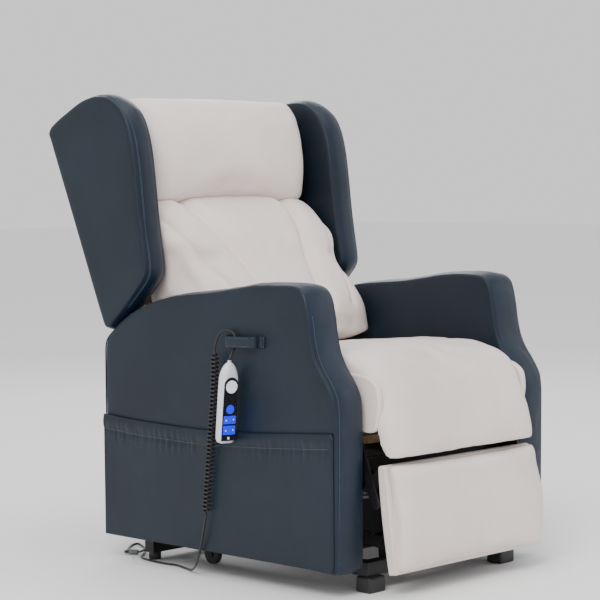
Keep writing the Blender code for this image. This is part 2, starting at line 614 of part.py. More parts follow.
def handset():
    width, depth, length = HANDSET_SIZE
    shell = box("handset_shell", (-width / 2, -depth / 2, 0), (width / 2, depth / 2, length))
    add_bevel(shell, 0.009, 3)
    shell = to_mesh_object(shell)
    nipple = cylinder("nipple", (0, 0, length - 0.004), (0, 0, length + 0.004), 0.004, 16)
    front = -depth / 2
    recess = face_strip("recess", GAP, 0.02, -(front + FACE_DEPTH))
    shell = cut(fuse(shell, nipple), recess)
    for name, (height, wide, tall, is_round) in BUTTONS.items():
        shell = cut(shell, button_shape("well", height, wide, tall, is_round, BUTTON_GAP, front - 0.01,
                                        front + 0.0062))
    place_on_handset(shell, HANDSET, "silver_plastic")

    face = face_strip("handset_face", 0.0, -(front + 0.0002), -(front + FACE_DEPTH - GAP))
    for name, (height, wide, tall, is_round) in BUTTONS.items():
        face = cut(face, button_shape("hole", height, wide, tall, is_round, BUTTON_GAP, front - 0.01, 0.0))
    lamp = box("lamp_hole", (-0.0030, front - 0.01, 0.0100), (0.0030, 0.0, 0.0160))
    face = cut(face, lamp)
    place_on_handset(face, HANDSET, "black_plastic")
    led = box("handset_led", (-0.0025, front - 0.0002, 0.0105), (0.0025, front + FACE_DEPTH - GAP, 0.0155))
    place_on_handset(led, HANDSET, "white_key")

    for name, (height, wide, tall, is_round) in BUTTONS.items():
        pivot = empty(name + "_slide", (0, 0, height), HANDSET)
        button = button_shape(name, height, wide, tall, is_round, 0.0, front - BUTTON_PROUD, front + 0.0048)
        place_on_handset(button, pivot, "white_key" if name == "button_white" else "blue_key")


def button_shape(name, height, wide, tall, is_round, grow, y_from, y_to):
    if is_round:
        return face_cylinder(name, height, wide / 2 + grow, y_from, y_to)
    return box(name, (-wide / 2 - grow, y_from, height - tall / 2 - grow),
               (wide / 2 + grow, y_to, height + tall / 2 + grow))


# ---- cord -----------------------------------------------------------------------------------------
LEAD_ROUTE = [(-0.391, -0.1345, 0.5038), (-0.3888, -0.135, 0.5110), (-0.3835, -0.1345, 0.5190),
              (-0.3765, -0.1335, 0.5265), (-0.3705, -0.132, 0.5370), (-0.3680, -0.129, 0.5500),
              (-0.3678, -0.124, 0.5595), (-0.369, -0.116, 0.5650), (-0.372, -0.106, 0.5670),
              (-0.3755, -0.096, 0.5655), (-0.3777, -0.0865, 0.5590), (-0.3784, -0.0803, 0.5490),
              (-0.3783, -0.0763, 0.5380), (-0.378, -0.0738, 0.5280), (-0.3778, -0.0725, 0.5185)]
COIL_ROUTE = [(-0.3778, -0.0725, 0.518), (-0.3778, -0.0705, 0.455), (-0.3778, -0.059, 0.342),
              (-0.3778, -0.048, 0.251), (-0.3778, -0.036, 0.148)]
TAIL_ROUTE = [(-0.3778, -0.0355, 0.1475), (-0.377, -0.031, 0.120), (-0.376, -0.022, 0.090),
              (-0.373, -0.010, 0.060), (-0.366, 0.006, 0.035), (-0.355, 0.028, 0.016), (-0.342, 0.052, 0.0065),
              (-0.330, 0.080, 0.0035), (-0.315, 0.132, 0.0030), (-0.319, 0.163, 0.0030), (-0.319, 0.195, 0.0030),
              (-0.3145, 0.235, 0.0030), (-0.302, 0.272, 0.0030), (-0.268, 0.302, 0.0030), (-0.229, 0.341, 0.0030),
              (-0.201, 0.386, 0.0030), (-0.190, 0.414, 0.0030), (-0.205, 0.413, 0.0030),
              (-0.242, 0.387, 0.0030), (-0.267, 0.362, 0.0035), (-0.2820, 0.3520, 0.0045),
              (-0.2900, 0.3445, 0.0056), (-0.2903, 0.3388, 0.0061), (-0.2876, 0.3341, 0.0062)]
PLUG_SPAN = [(-0.2870, 0.3330, 0.0062), (-0.2815, 0.3235, 0.0062)]
SOCKET_SPAN = [(-0.2813, 0.3232, 0.0062), (-0.2760, 0.3140, 0.0062)]
CONTROL_ROUTE = [(-0.2755, 0.3131, 0.0062), (-0.2732, 0.3093, 0.0066), (-0.2700, 0.3055, 0.0090),
                 (-0.263, 0.3030, 0.0108),
                 (-0.252, 0.3040, 0.0130), (-0.242, 0.3040, 0.0190), (-0.234, 0.2990, 0.0330),
                 (-0.226, 0.2950, 0.0600), (-0.217, 0.2920, 0.0950), (-0.209, 0.2840, 0.1280),
                 (-0.2055, 0.2660, 0.1470), (-0.205, 0.2403, 0.1500)]


def cord():
    tubes = {"cord_lead": (LEAD_ROUTE, CORD_RADIUS, 0.010, "black_cord"),
             "cord_coil": (COIL_ROUTE, COIL_RADIUS, 0.035, "black_cord"),
             "cord_tail": (TAIL_ROUTE, CORD_RADIUS, 0.0135, "grey_cord"),
             "control_lead": (CONTROL_ROUTE, CORD_RADIUS, 0.0125, "black_cord")}
    for name, (route, radius, step, colour) in tubes.items():
        attach(tube(name, smooth_route(route, step), radius), CHASSIS, colour)
    attach(cylinder("cord_plug", *PLUG_SPAN, 0.006, 16), CHASSIS, "grey_cord")
    attach(cylinder("lead_socket", *SOCKET_SPAN, 0.006, 16), CHASSIS, "grey_cord")
    tie = box("cord_tie", (-0.3445, 0.283, 0.0002), (-0.2935, 0.287, 0.0014))
    tie.rotation_euler = (0.0, 0.0, math.radians(46.5))
    attach(tie, CHASSIS, "white_tie")


# ---- assembly -------------------------------------------------------------------------------------
def build_base():
    for side, name in ((1, "left"), (-1, "right")):
        base_rail(side, "base_rail_" + name)
        axle = empty("wheel_axle_" + name, (side * WHEEL_X, *WHEEL_AXLE), CHAIR)
        transit_wheel(side, "transit_wheel_" + name, axle)
    base_crossbars()
    feet()


def build_lift():
    lift_linkage(empty("lift_pivot", (0, *LIFT_PIVOT), CHAIR), empty("guide_pivot", (0, *GUIDE_PIVOT), CHAIR))
    lift_actuator(empty("lift_motor_pivot", (0, *LIFT_MOTOR_PIVOT), CHAIR),
                  empty("lift_rod_slide", (0, *LIFT_LEVER), CHAIR))


def build_chassis():
    for side, name in ((1, "left"), (-1, "right")):
        chassis_side(side, name)
        arm(side, name)
    chassis_tubes()
    seat_deck()
    control_box()
    side_pocket()
    handset_strap()
    seat_cushions()
    handset()
    cord()


def build_moving_upholstery():
    backrest(empty("recline_pivot", (0, *RECLINE_PIVOT), CHAIR))
    recline_actuator(empty("back_rod_slide", (BACK_MOTOR_X, *RECLINE_BAR), CHAIR))
    leg_rest(empty("legrest_pivot", (0, *LEG_PIVOT), CHAIR))
    leg_rest_actuator(empty("legrest_rod_slide", (LEG_MOTOR_X, *LEG_LEVER), CHAIR))


clear_scene()
PARTS = make_collection()
CHAIR = empty("chair_frame", (X_CENTRE, 0, 0))
CHASSIS = empty("chassis_pivot", (0, *CHASSIS_PIVOT), CHAIR)
HANDSET = empty("handset_frame", HANDSET_FOOT, CHAIR)
HANDSET.rotation_euler = (Matrix.Rotation(HANDSET_LEAN, 3, "X") @ Matrix.Rotation(HANDSET_TURN, 3, "Z")).to_euler()
build_base()
build_lift()
build_chassis()
build_moving_upholstery()
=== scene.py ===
"""Looks of the lift recliner chair: leather upholstery, stitching, handset, curly cord, light and camera."""
import json
import math

import bmesh
import bpy
from mathutils import Matrix, Vector
from mathutils.noise import noise


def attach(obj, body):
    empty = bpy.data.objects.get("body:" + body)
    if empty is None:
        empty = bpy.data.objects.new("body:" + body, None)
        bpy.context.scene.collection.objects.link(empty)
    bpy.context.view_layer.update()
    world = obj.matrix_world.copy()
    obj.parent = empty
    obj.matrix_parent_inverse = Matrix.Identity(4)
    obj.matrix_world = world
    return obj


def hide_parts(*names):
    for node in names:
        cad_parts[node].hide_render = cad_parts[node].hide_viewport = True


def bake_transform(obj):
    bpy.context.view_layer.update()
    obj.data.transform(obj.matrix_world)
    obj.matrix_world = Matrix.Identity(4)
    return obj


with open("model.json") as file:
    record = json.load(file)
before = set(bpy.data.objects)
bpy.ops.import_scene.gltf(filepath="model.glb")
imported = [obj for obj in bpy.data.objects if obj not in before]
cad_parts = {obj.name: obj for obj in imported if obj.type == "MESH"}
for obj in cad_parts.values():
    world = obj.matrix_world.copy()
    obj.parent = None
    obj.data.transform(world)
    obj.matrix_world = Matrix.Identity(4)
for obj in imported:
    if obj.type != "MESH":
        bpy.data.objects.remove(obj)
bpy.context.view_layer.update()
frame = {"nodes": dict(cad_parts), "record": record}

# The chair's own frame is symmetric about x = 0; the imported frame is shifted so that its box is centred.
X0 = 0.0248
ARM_IN, ARM_OUT = 0.2685, 0.36
SEAT_HALF = 0.262
CHAISE_HALF = 0.2526
WING_IN, WING_OUT = 0.2976, 0.3645
PILLOW_HALF = 0.28
SIDE_ROOM = 0.988            # share of its CAD width that the seat pad is cut to
PAD_ROOM = 0.985             # the same for the other pads
PAD_SLACK = 0.003            # how far inside its outline the leg pad is cut, before it swells


def at(x, y, z):
    """A point of the chair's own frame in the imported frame."""
    return Vector((x + X0, y, z))


# ---- camera ---------------------------------------------------------------------------------------
CAMERA_ANGLES = (-45.991, 3.820, -0.517)     # azimuth, elevation and roll, in degrees
CAMERA_PLACE = (-3.3965, -3.2885, 0.8891)
CAMERA_LENS = 119.32
CAMERA_SHIFT = (-0.01888, 0.02697)


def make_camera():
    azimuth, elevation, roll = (math.radians(a) for a in CAMERA_ANGLES)
    back = Vector((math.sin(azimuth) * math.cos(elevation), -math.cos(azimuth) * math.cos(elevation),
                   math.sin(elevation)))
    right = (-back).cross(Vector((0, 0, 1))).normalized()
    up = right.cross(-back)
    right_rolled = right * math.cos(roll) + up * math.sin(roll)
    up_rolled = up * math.cos(roll) - right * math.sin(roll)
    data = bpy.data.cameras.new("camera")
    data.sensor_width = 36.0
    data.lens = CAMERA_LENS
    data.shift_x, data.shift_y = CAMERA_SHIFT
    camera = bpy.data.objects.new("camera", data)
    axes = Matrix((right_rolled, up_rolled, back)).transposed().to_4x4()
    camera.matrix_world = Matrix.Translation(at(*CAMERA_PLACE)) @ axes
    bpy.context.scene.collection.objects.link(camera)
    bpy.context.scene.camera = camera


# ---- materials ------------------------------------------------------------------------------------
class Nodes:
    """A material under construction, with short calls for the nodes it needs."""

    def __init__(self, name, roughness, metallic=0.0, specular=0.5):
        self.mat = bpy.data.materials.new(name)
        self.mat.use_nodes = True
        self.tree = self.mat.node_tree
        self.shader = self.tree.nodes["Principled BSDF"]
        self.shader.inputs["Roughness"].default_value = roughness
        self.shader.inputs["Metallic"].default_value = metallic
        self.shader.inputs["Specular IOR Level"].default_value = specular
        self.place = self.tree.nodes.new("ShaderNodeTexCoord").outputs["Object"]

    def link(self, out, into):
        self.tree.links.new(out, into)

    def noise(self, scale, detail=3.0, roughness=0.5, stretch=None):
        node = self.tree.nodes.new("ShaderNodeTexNoise")
        node.inputs["Scale"].default_value = scale
        node.inputs["Detail"].default_value = detail
        node.inputs["Roughness"].default_value = roughness
        self.link(self.stretched(stretch), node.inputs["Vector"])
        return node.outputs["Fac"]

    def stretched(self, stretch):
        if stretch is None:
            return self.place
        mapping = self.tree.nodes.new("ShaderNodeMapping")
        mapping.inputs["Scale"].default_value = stretch
        self.link(self.place, mapping.inputs["Vector"])
        return mapping.outputs["Vector"]

    def cells(self, scale, feature="DISTANCE_TO_EDGE"):
        node = self.tree.nodes.new("ShaderNodeTexVoronoi")
        node.feature = feature
        node.inputs["Scale"].default_value = scale
        self.link(self.place, node.inputs["Vector"])
        return node.outputs["Distance"]

    def ramp(self, fac, stops):
        node = self.tree.nodes.new("ShaderNodeValToRGB")
        ramp = node.color_ramp
        while len(ramp.elements) < len(stops):
            ramp.elements.new(0.5)
        for element, (place, colour) in zip(ramp.elements, stops):
            element.position = place
            element.color = (*colour, 1.0)
        self.link(fac, node.inputs["Fac"])
        return node.outputs["Color"]

    def mix(self, fac, a, b, kind="MIX"):
        node = self.tree.nodes.new("ShaderNodeMix")
        node.data_type = "RGBA"
        node.blend_type = kind
        for socket, value in ((node.inputs["Factor"], fac), (node.inputs["A"], a), (node.inputs["B"], b)):
            if hasattr(value, "is_linked"):
                self.link(value, socket)
            elif isinstance(value, tuple):
                socket.default_value = (*value, 1.0)
            else:
                socket.default_value = value
        return node.outputs["Result"]

    def span(self, value, low, high, to_low, to_high):
        node = self.tree.nodes.new("ShaderNodeMapRange")
        for name, number in (("From Min", low), ("From Max", high), ("To Min", to_low), ("To Max", to_high)):
            node.inputs[name].default_value = number
        self.link(value, node.inputs["Value"])
        return node.outputs["Result"]

    def bump(self, height, strength, distance, below=None):
        node = self.tree.nodes.new("ShaderNodeBump")
        node.inputs["Strength"].default_value = strength
        node.inputs["Distance"].default_value = distance
        self.link(height, node.inputs["Height"])
        if below is not None:
            self.link(below, node.inputs["Normal"])
        return node.outputs["Normal"]

    def colour(self, out):
        self.link(out, self.shader.inputs["Base Color"])

    def rough(self, out):
        self.link(out, self.shader.inputs["Roughness"])

    def normal(self, out):
        self.link(out, self.shader.inputs["Normal"])


def leather(name, base, deep, light, roughness, grain=520.0, crease=0.35):
    """Upholstery leather: pebbled grain, soft wrinkles, worn sheen and slow changes of colour."""
    n = Nodes(name, roughness, specular=0.30)
    n.shader.inputs["Coat Weight"].default_value = 0.03
    n.shader.inputs["Coat Roughness"].default_value = 0.35
    slow = n.noise(5.0, 2.0)
    tone = n.mix(n.span(slow, 0.3, 0.7, 0.0, 1.0), deep, base)
    pebble = n.cells(grain)
    tone = n.mix(n.span(pebble, 0.0, 0.12, 0.22, 0.0), tone, deep)
    wear = n.noise(24.0, 5.0, 0.65)
    tone = n.mix(n.span(wear, 0.55, 0.8, 0.0, 0.30), tone, light)
    n.colour(tone)
    n.rough(n.span(wear, 0.3, 0.75, roughness - 0.06, roughness + 0.08))
    wrinkle = n.bump(n.noise(38.0, 4.0, 0.6), crease, 0.0012)
    pores = n.bump(n.noise(900.0, 2.0), 0.10, 0.0002, wrinkle)
    n.normal(n.bump(n.span(pebble, 0.0, 0.25, 0.0, 1.0), 0.28, 0.00035, pores))
    return n.mat


def thread(name, colour):
    n = Nodes(name, 0.55)
    n.colour(n.mix(n.noise(1500.0), colour, tuple(c * 0.6 for c in colour)))
    n.normal(n.bump(n.noise(2600.0, 2.0, 0.5, (1.0, 1.0, 0.25)), 0.5, 0.0002))
    return n.mat


def powder_coat(name, colour, roughness=0.42):
    n = Nodes(name, roughness, 0.3)
    scuff = n.noise(60.0, 6.0, 0.7)
    n.colour(n.mix(n.span(scuff, 0.62, 0.8, 0.0, 0.5), colour, tuple(c * 3 + 0.01 for c in colour)))
    n.rough(n.span(scuff, 0.3, 0.8, roughness - 0.08, roughness + 0.15))
    n.normal(n.bump(n.noise(1400.0, 2.0), 0.25, 0.0002))
    return n.mat


def plastic(name, colour, roughness, texture=1800.0, strength=0.08, specular=0.5):
    n = Nodes(name, roughness, specular=specular)
    smudge = n.noise(35.0, 4.0)
    n.colour(n.mix(n.span(smudge, 0.4, 0.7, 0.0, 0.25), colour, tuple(c * 0.8 for c in colour)))
    n.rough(n.span(smudge, 0.3, 0.7, roughness - 0.04, roughness + 0.08))
    n.normal(n.bump(n.noise(texture, 2.0), strength, 0.0001))
    return n.mat


def painted_glow_key(name, colour, strength):
    n = Nodes(name, 0.30)
    painted_glow = n.mix(n.noise(180.0, 2.0), colour, tuple(c * 0.7 for c in colour))
    n.colour(painted_glow)
    # painted glow: the key colour is also given out as light, though the keys are no lamps
    n.link(painted_glow, n.shader.inputs["Emission Color"])
    n.shader.inputs["Emission Strength"].default_value = strength
    return n.mat


def brushed(name):
    n = Nodes(name, 0.25, 1.0)
    lines = n.noise(220.0, 3.0, 0.6, (1.0, 0.04, 1.0))
    n.colour(n.mix(lines, (0.62, 0.63, 0.65), (0.45, 0.46, 0.48)))
    n.rough(n.span(lines, 0.3, 0.7, 0.18, 0.34))
    return n.mat


def timber(name):
    n = Nodes(name, 0.65)
    rings = n.noise(30.0, 5.0, 0.6, (1.0, 0.12, 1.0))
    n.colour(n.ramp(rings, [(0.3, (0.30, 0.18, 0.09)), (0.55, (0.50, 0.34, 0.20)),
                            (0.75, (0.62, 0.45, 0.28))]))
    n.normal(n.bump(rings, 0.3, 0.0006))
    return n.mat


MAT = {
    "navy_leather": leather("navy_leather_look", (0.0062, 0.0142, 0.0250), (0.0038, 0.0090, 0.0165),
                            (0.011, 0.022, 0.036), 0.42),
    # painted light: a bluer copy of the navy leather for the top and front bands and welts, standing in for the
    # light they catch
    "navy_painted_light": leather("navy_painted_light_look", (0.0055, 0.0150, 0.0330), (0.0032, 0.0090, 0.0200),
                           (0.011, 0.024, 0.046), 0.38),
    "cream_leather": leather("cream_leather_look", (0.79, 0.705, 0.675), (0.71, 0.615, 0.585),
                             (0.84, 0.775, 0.75), 0.46, 430.0, 0.22),
    "navy_thread": thread("navy_thread_look", (0.10, 0.13, 0.17)),
    "cream_thread": thread("cream_thread_look", (0.72, 0.66, 0.62)),
    "black_steel": powder_coat("black_steel_look", (0.008, 0.008, 0.009)),
    "black_plastic": plastic("black_plastic_look", (0.012, 0.012, 0.014), 0.42),
    "grey_tyre": plastic("grey_tyre_look", (0.035, 0.035, 0.037), 0.75, 700.0, 0.4),
    "timber": timber("timber_look"),
    "silver_plastic": plastic("silver_plastic_look", (0.66, 0.68, 0.71), 0.26, 2600.0, 0.03, 0.6),
    "panel_plastic": plastic("panel_plastic_look", (0.006, 0.006, 0.012), 0.22, 2200.0, 0.03, 0.6),
    # the blue and white keys and the white arrow marks glow with painted light
    "blue_key": painted_glow_key("blue_key_painted_glow_look", (0.004, 0.016, 0.85), 0.9),
    "white_key": painted_glow_key("white_key_painted_glow_look", (0.86, 0.90, 0.97), 0.25),
    "steel_rod": brushed("steel_rod_look"),
    "black_cord": plastic("black_cord_look", (0.010, 0.010, 0.012), 0.38, 900.0, 0.15),
    "grey_cord": plastic("grey_cord_look", (0.20, 0.22, 0.22), 0.45, 900.0, 0.15),
    "white_tie": plastic("white_tie_look", (0.75, 0.76, 0.77), 0.5),
}


def paint_frame():
    """Give every carried-over CAD node the look of its material slot."""
    slots = {row["node"]: row["material_slot"] for row in frame["record"]["subparts"]}
    for name, obj in frame["nodes"].items():
        obj.data.materials.clear()
        obj.data.materials.append(MAT[slots[name]])
    frame["nodes"]["handset_face"].data.materials[0] = MAT["panel_plastic"]


# ---- mesh helpers ---------------------------------------------------------------------------------
def new_piece(name, mesh, look, body, smooth=True):
    obj = bpy.data.objects.new(name, mesh)
    bpy.context.scene.collection.objects.link(obj)
    mesh.materials.clear()
    mesh.materials.append(MAT[look])
    if smooth:
        mesh.shade_smooth()
    if body:
        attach(obj, body)
    return obj


def resample(points, step, closed=False):
    """Even points along a smooth curve through the given ones."""
    places = [Vector(p) for p in points]
    if closed:
        ends = [places[-1]] + places + places[:2]
    else:
        ends = [2 * places[0] - places[1]] + places + [2 * places[-1] - places[-2]]
    fine = []
    for a, b, c, d in zip(ends, ends[1:], ends[2:], ends[3:]):
        run = (c - b).length
        leave = (c - a) * (run / max((b - a).length + run, 1e-9))
        arrive = (d - b) * (run / max((d - c).length + run, 1e-9))
        for i in range(16):
            t = i / 16
            fine.append(b * (2 * t ** 3 - 3 * t ** 2 + 1) + leave * (t ** 3 - 2 * t ** 2 + t)
                        + c * (3 * t ** 2 - 2 * t ** 3) + arrive * (t ** 3 - t ** 2))
    fine.append(places[0] if closed else places[-1])
    lengths = [0.0]
    for a, b in zip(fine, fine[1:]):
        lengths.append(lengths[-1] + (b - a).length)
    count = max(2, round(lengths[-1] / step))
    route, k = [], 0
    for i in range(count + (0 if closed else 1)):
        want = lengths[-1] * i / count
        while k < len(fine) - 2 and lengths[k + 1] < want:
            k += 1
        gap = max(lengths[k + 1] - lengths[k], 1e-9)
        route.append(fine[k].lerp(fine[k + 1], (want - lengths[k]) / gap))
    return route


def skin(shape, rings):
    """Join closed rings of vertices into a skin and close both ends."""
    for p, q in zip(rings, rings[1:]):
        for k in range(len(p)):
            j = (k + 1) % len(p)
            shape.faces.new((p[k], p[j], q[j], q[k]))
    shape.faces.new(rings[0][::-1])
    shape.faces.new(rings[-1])


def panel(shape, grid):
    """Join rows of vertices into an open sheet."""
    for p, q in zip(grid, grid[1:]):
        for k in range(len(p) - 1):
            shape.faces.new((p[k], q[k], q[k + 1], p[k + 1]))


def evaluated(obj):
    graph = bpy.context.evaluated_depsgraph_get()
    graph.update()
    return bpy.data.meshes.new_from_object(obj.evaluated_get(graph))


def thickened(mesh, thickness, offset):
    """The mesh as a solid sheet."""
    work = bpy.data.objects.new("work", mesh)
    bpy.context.scene.collection.objects.link(work)
    solid = work.modifiers.new("thickness", "SOLIDIFY")
    solid.thickness = thickness
    solid.offset = offset
    result = evaluated(work)
    bpy.data.objects.remove(work, do_unlink=True)
    return result


def piping(name, points, radius, look, body, sides=8):
    """A round tube along the points, as a piece of its own."""
    new_piece(name, tube_mesh(name, points, radius, sides), look, body)


def tube_mesh(name, points, radius, sides=8):
    """A round tube along the points, with closed ends; radius is a number or a function of 0..1."""
    shape = bmesh.new()
    rings = []
    side = None
    last = len(points) - 1
    for i, place in enumerate(points):
        ahead = (points[min(i + 1, last)] - points[max(i - 1, 0)]).normalized()
        if side is None:
            side = ahead.orthogonal().normalized()
        side = (side - ahead * side.dot(ahead)).normalized()
        other = ahead.cross(side)
        size = radius(i / last) if callable(radius) else radius
        ring = []
        for k in range(sides):
            a = 2 * math.pi * k / sides
            ring.append(shape.verts.new(place + side * (size * math.cos(a)) + other * (size * math.sin(a))))
        rings.append(ring)
    skin(shape, rings)
    return finish_mesh(name, shape)


def finish_mesh(name, shape):
    bmesh.ops.recalc_face_normals(shape, faces=shape.faces)
    mesh = bpy.data.meshes.new(name)
    shape.to_mesh(mesh)
    shape.free()
    return mesh


# along a stitch: share of its length, rise above the leather in metres, share of its thickness
THREAD_SHAPE = [(0.0, -0.0004, 0.6), (0.25, 0.0003, 1.0), (0.75, 0.0003, 1.0), (1.0, -0.0004, 0.6)]


def stitches(name, runs, look, body, length=0.0042, gap=0.0022, radius=0.00055):
    """A sewn line: short rounded threads that dip in at both ends. Each run is (points, outward)."""
    shape = bmesh.new()
    for points, outward in runs:
        outward = Vector(outward).normalized()
        route = resample(points, length + gap)
        for a, b in zip(route, route[1:]):
            run = b - a
            ahead = run.normalized()
            up = (outward - ahead * outward.dot(ahead)).normalized()
            side = ahead.cross(up)
            reach = min(length, run.length * 0.8)
            rings = []
            for t, lift, size in THREAD_SHAPE:
                centre = a + ahead * (reach * t) + up * lift
                rings.append([shape.verts.new(centre + side * (size * radius * math.cos(k * math.pi / 3))
                                              + up * (size * radius * math.sin(k * math.pi / 3)))
                              for k in range(6)])
            skin(shape, rings)
    return new_piece(name, finish_mesh(name, shape), look, body)


def normals_of(outline):
    """Outward unit normals, in (y, z), of a closed outline."""
    area = sum(a.x * b.y - b.x * a.y for a, b in zip(outline, outline[1:] + outline[:1]))
    sign = 1.0 if area > 0 else -1.0
    result = []
    count = len(outline)
    for i in range(count):
        along = outline[(i + 1) % count] - outline[i - 1]
        result.append(Vector((along.y, -along.x)).normalized() * sign)
    return result


def eased(normals, reach):
    """The normals averaged over reach neighbours each way, so an inset doesn't fold at a corner."""
    count = len(normals)
    return [sum((normals[(i + k) % count] for k in range(-reach, reach + 1)), Vector((0, 0))).normalized()
            for i in range(count)]


def lofted_pad(name, outline, columns, look, body, step=0.008, wobble=None):
    """A closed upholstered form: the (y, z) outline carried through x, moved inward by each column's inset.

    columns is a list of (x, inset) pairs; the first and last rings are closed with flat faces.
    """
    route = resample([Vector(p) for p in outline], step, closed=True)
    route = [Vector((p[0], p[1])) for p in route]
    normals = normals_of(route)
    shape = bmesh.new()
    rings = []
    for x, inset in columns:
        ring = []
        for place, normal in zip(route, eased(normals, round(abs(inset) / step))):
            extra = wobble(x, place) if wobble else 0.0
            spot = place - normal * (inset - extra)
            ring.append(shape.verts.new(at(x, spot.x, spot.y)))
        rings.append(ring)
    skin(shape, rings)
    return new_piece(name, finish_mesh(name, shape), look, body)


def round_columns(x_from, x_to, radius, crown, inner=0.03, steps=5, spans=12):
    """Columns for lofted_pad: flat side, rounded edge, crowned middle, and the same on the other side."""
    low, high = min(x_from, x_to), max(x_from, x_to)
    columns = []
    middle = (low + high) / 2
    half = (high - low) / 2
    edge = [(-half, inner)]
    for i in range(steps + 1):
        a = math.pi / 2 * i / steps
        edge.append((-half + radius * (1 - math.cos(a)), radius * (1 - math.sin(a))))
    columns += [(middle + x, inset) for x, inset in edge]
    flat = half - radius
    for i in range(1, spans):
        u = -1 + 2 * i / spans
        columns.append((middle + u * flat, -crown * (1 - abs(u) ** 2.2)))
    columns += [(middle - x, inset) for x, inset in reversed(edge)]
    return columns


def swept(name, outline, half, spans, shape_at, step=0.008):
    """A closed form swept across x: shape_at(u, place, normal) gives each point, u from -1 to 1."""
    route = [Vector((p[0], p[1])) for p in resample([Vector(p) for p in outline], step, closed=True)]
    normals = normals_of(route)
    shape = bmesh.new()
    rings = []
    for i in range(spans + 1):
        u = math.sin(math.pi / 2 * (-1 + 2 * i / spans))
        rings.append([shape.verts.new(at(*shape_at(u * half, place, normal)))
                      for place, normal in zip(route, normals)])
    skin(shape, rings)
    return finish_mesh(name, shape)


SWELL_FRAMES = 20


def inflate(mesh, voxel, pressure, cap):
    """Remesh evenly, swell as stuffed leather in a cloth simulation, cap the move, subdivide once."""
    work = bpy.data.objects.new("work", mesh)
    bpy.context.scene.collection.objects.link(work)
    remesh = work.modifiers.new("remesh", "REMESH")
    remesh.mode = "VOXEL"
    remesh.voxel_size = voxel
    work.data = evaluated(work)
    work.modifiers.clear()
    smooth = work.modifiers.new("smooth", "SMOOTH")
    smooth.factor = 0.5
    smooth.iterations = 6
    work.data = evaluated(work)
    work.modifiers.clear()
    start = [v.co.copy() for v in work.data.vertices]
    cloth = work.modifiers.new("cloth", "CLOTH")
    cloth.settings.quality = 4
    cloth.settings.mass = 0.25
    cloth.settings.tension_stiffness = 18
    cloth.settings.compression_stiffness = 18
    cloth.settings.shear_stiffness = 8
    cloth.settings.bending_stiffness = 15.0
    cloth.settings.use_pressure = True
    cloth.settings.uniform_pressure_force = pressure
    cloth.settings.effector_weights.gravity = 0
    cloth.collision_settings.use_collision = False
    cloth.point_cache.frame_start = 1
    cloth.point_cache.frame_end = SWELL_FRAMES
    for number in range(1, SWELL_FRAMES + 1):
        bpy.context.scene.frame_set(number)
    swollen = evaluated(work)
    for vertex, first, last in zip(work.data.vertices, start, swollen.vertices):
        move = last.co - first
        if move.length > cap:
            move *= cap / move.length
        vertex.co = first + move
    work.modifiers.clear()
    bpy.context.scene.frame_set(1)
    settle = work.modifiers.new("settle", "SMOOTH")
    settle.factor = 0.5
    settle.iterations = 14
    work.data = evaluated(work)
    work.modifiers.clear()
    subdivide = work.modifiers.new("subdivide", "SUBSURF")
    subdivide.levels = 1
    result = evaluated(work)
    bpy.data.objects.remove(work, do_unlink=True)
    return result


def carve(mesh, lines, depth, width, facing, across, crease=0.0030):
    """Sew channels into a pad: lines are runs of 2-D points in the plane that across picks from a point."""
    segments = []
    for line in lines:
        route = resample([Vector((*p, 0.0)) for p in line], 0.01)
        segments += [((a.x, a.y), (b.x, b.y)) for a, b in zip(route, route[1:])]
    for vertex, normal in zip(mesh.vertices, [v.normal.copy() for v in mesh.vertices]):
        if normal.dot(facing) < 0.15:
            continue
        px, py = across(vertex.co)
        best = 1.0
        for (ax, ay), (bx, by) in segments:
            if abs(px - ax) > 0.06 or abs(py - ay) > 0.06:
                continue
            dx, dy = bx - ax, by - ay
            t = max(0.0, min(1.0, ((px - ax) * dx + (py - ay) * dy) / (dx * dx + dy * dy)))
            best = min(best, math.hypot(px - ax - t * dx, py - ay - t * dy))
        if best < 0.08:
            vertex.co -= normal * (depth * math.exp(-(best / width) ** 2)
                                   + crease * math.exp(-(best / 0.0035) ** 2))


def wrinkle(mesh, scale, depth):
    """Slow hand-made unevenness of a stuffed surface."""
    for vertex, normal in zip(mesh.vertices, [v.normal.copy() for v in mesh.vertices]):
        vertex.co += normal * (depth * noise(vertex.co * scale))


def edge_fall(x, half, reach):
    """0 in the middle, rising as a quarter round to 1 at the side."""
    t = max(0.0, (abs(x) - (half - reach)) / reach)
    return 1 - math.sqrt(max(0.0, 1 - t * t))


# ---- arms -----------------------------------------------------------------------------------------
ARM_OUTLINE = [(0.326, 0.066), (0.326, 0.20), (0.326, 0.36), (0.326, 0.495), (0.321, 0.524), (0.302, 0.546),
               (0.246, 0.583), (0.157, 0.620), (0.104, 0.632), (0.035, 0.641), (-0.053, 0.650), (-0.118, 0.659),
               (-0.181, 0.667), (-0.267, 0.671), (-0.312, 0.667), (-0.333, 0.650), (-0.345, 0.605),
               (-0.352, 0.56), (-0.361, 0.525), (-0.375, 0.497), (-0.398, 0.466), (-0.415, 0.438),
               (-0.4205, 0.41), (-0.4213, 0.36), (-0.420, 0.20), (-0.419, 0.062), (-0.405, 0.055), (-0.30, 0.061),
               (-0.10, 0.061), (0.15, 0.061), (0.315, 0.061)]
ARM_SEAM = [(0.326, 0.10), (0.326, 0.495), (0.321, 0.522), (0.302, 0.542), (0.246, 0.579), (0.157, 0.616),
            (0.104, 0.628), (0.035, 0.636), (-0.053, 0.644), (-0.118, 0.652), (-0.181, 0.659), (-0.267, 0.663),
            (-0.308, 0.661), (-0.329, 0.646), (-0.341, 0.605), (-0.348, 0.56), (-0.357, 0.525), (-0.371, 0.497),
            (-0.394, 0.466), (-0.411, 0.438), (-0.4165, 0.41), (-0.4175, 0.36), (-0.416, 0.20), (-0.415, 0.075)]


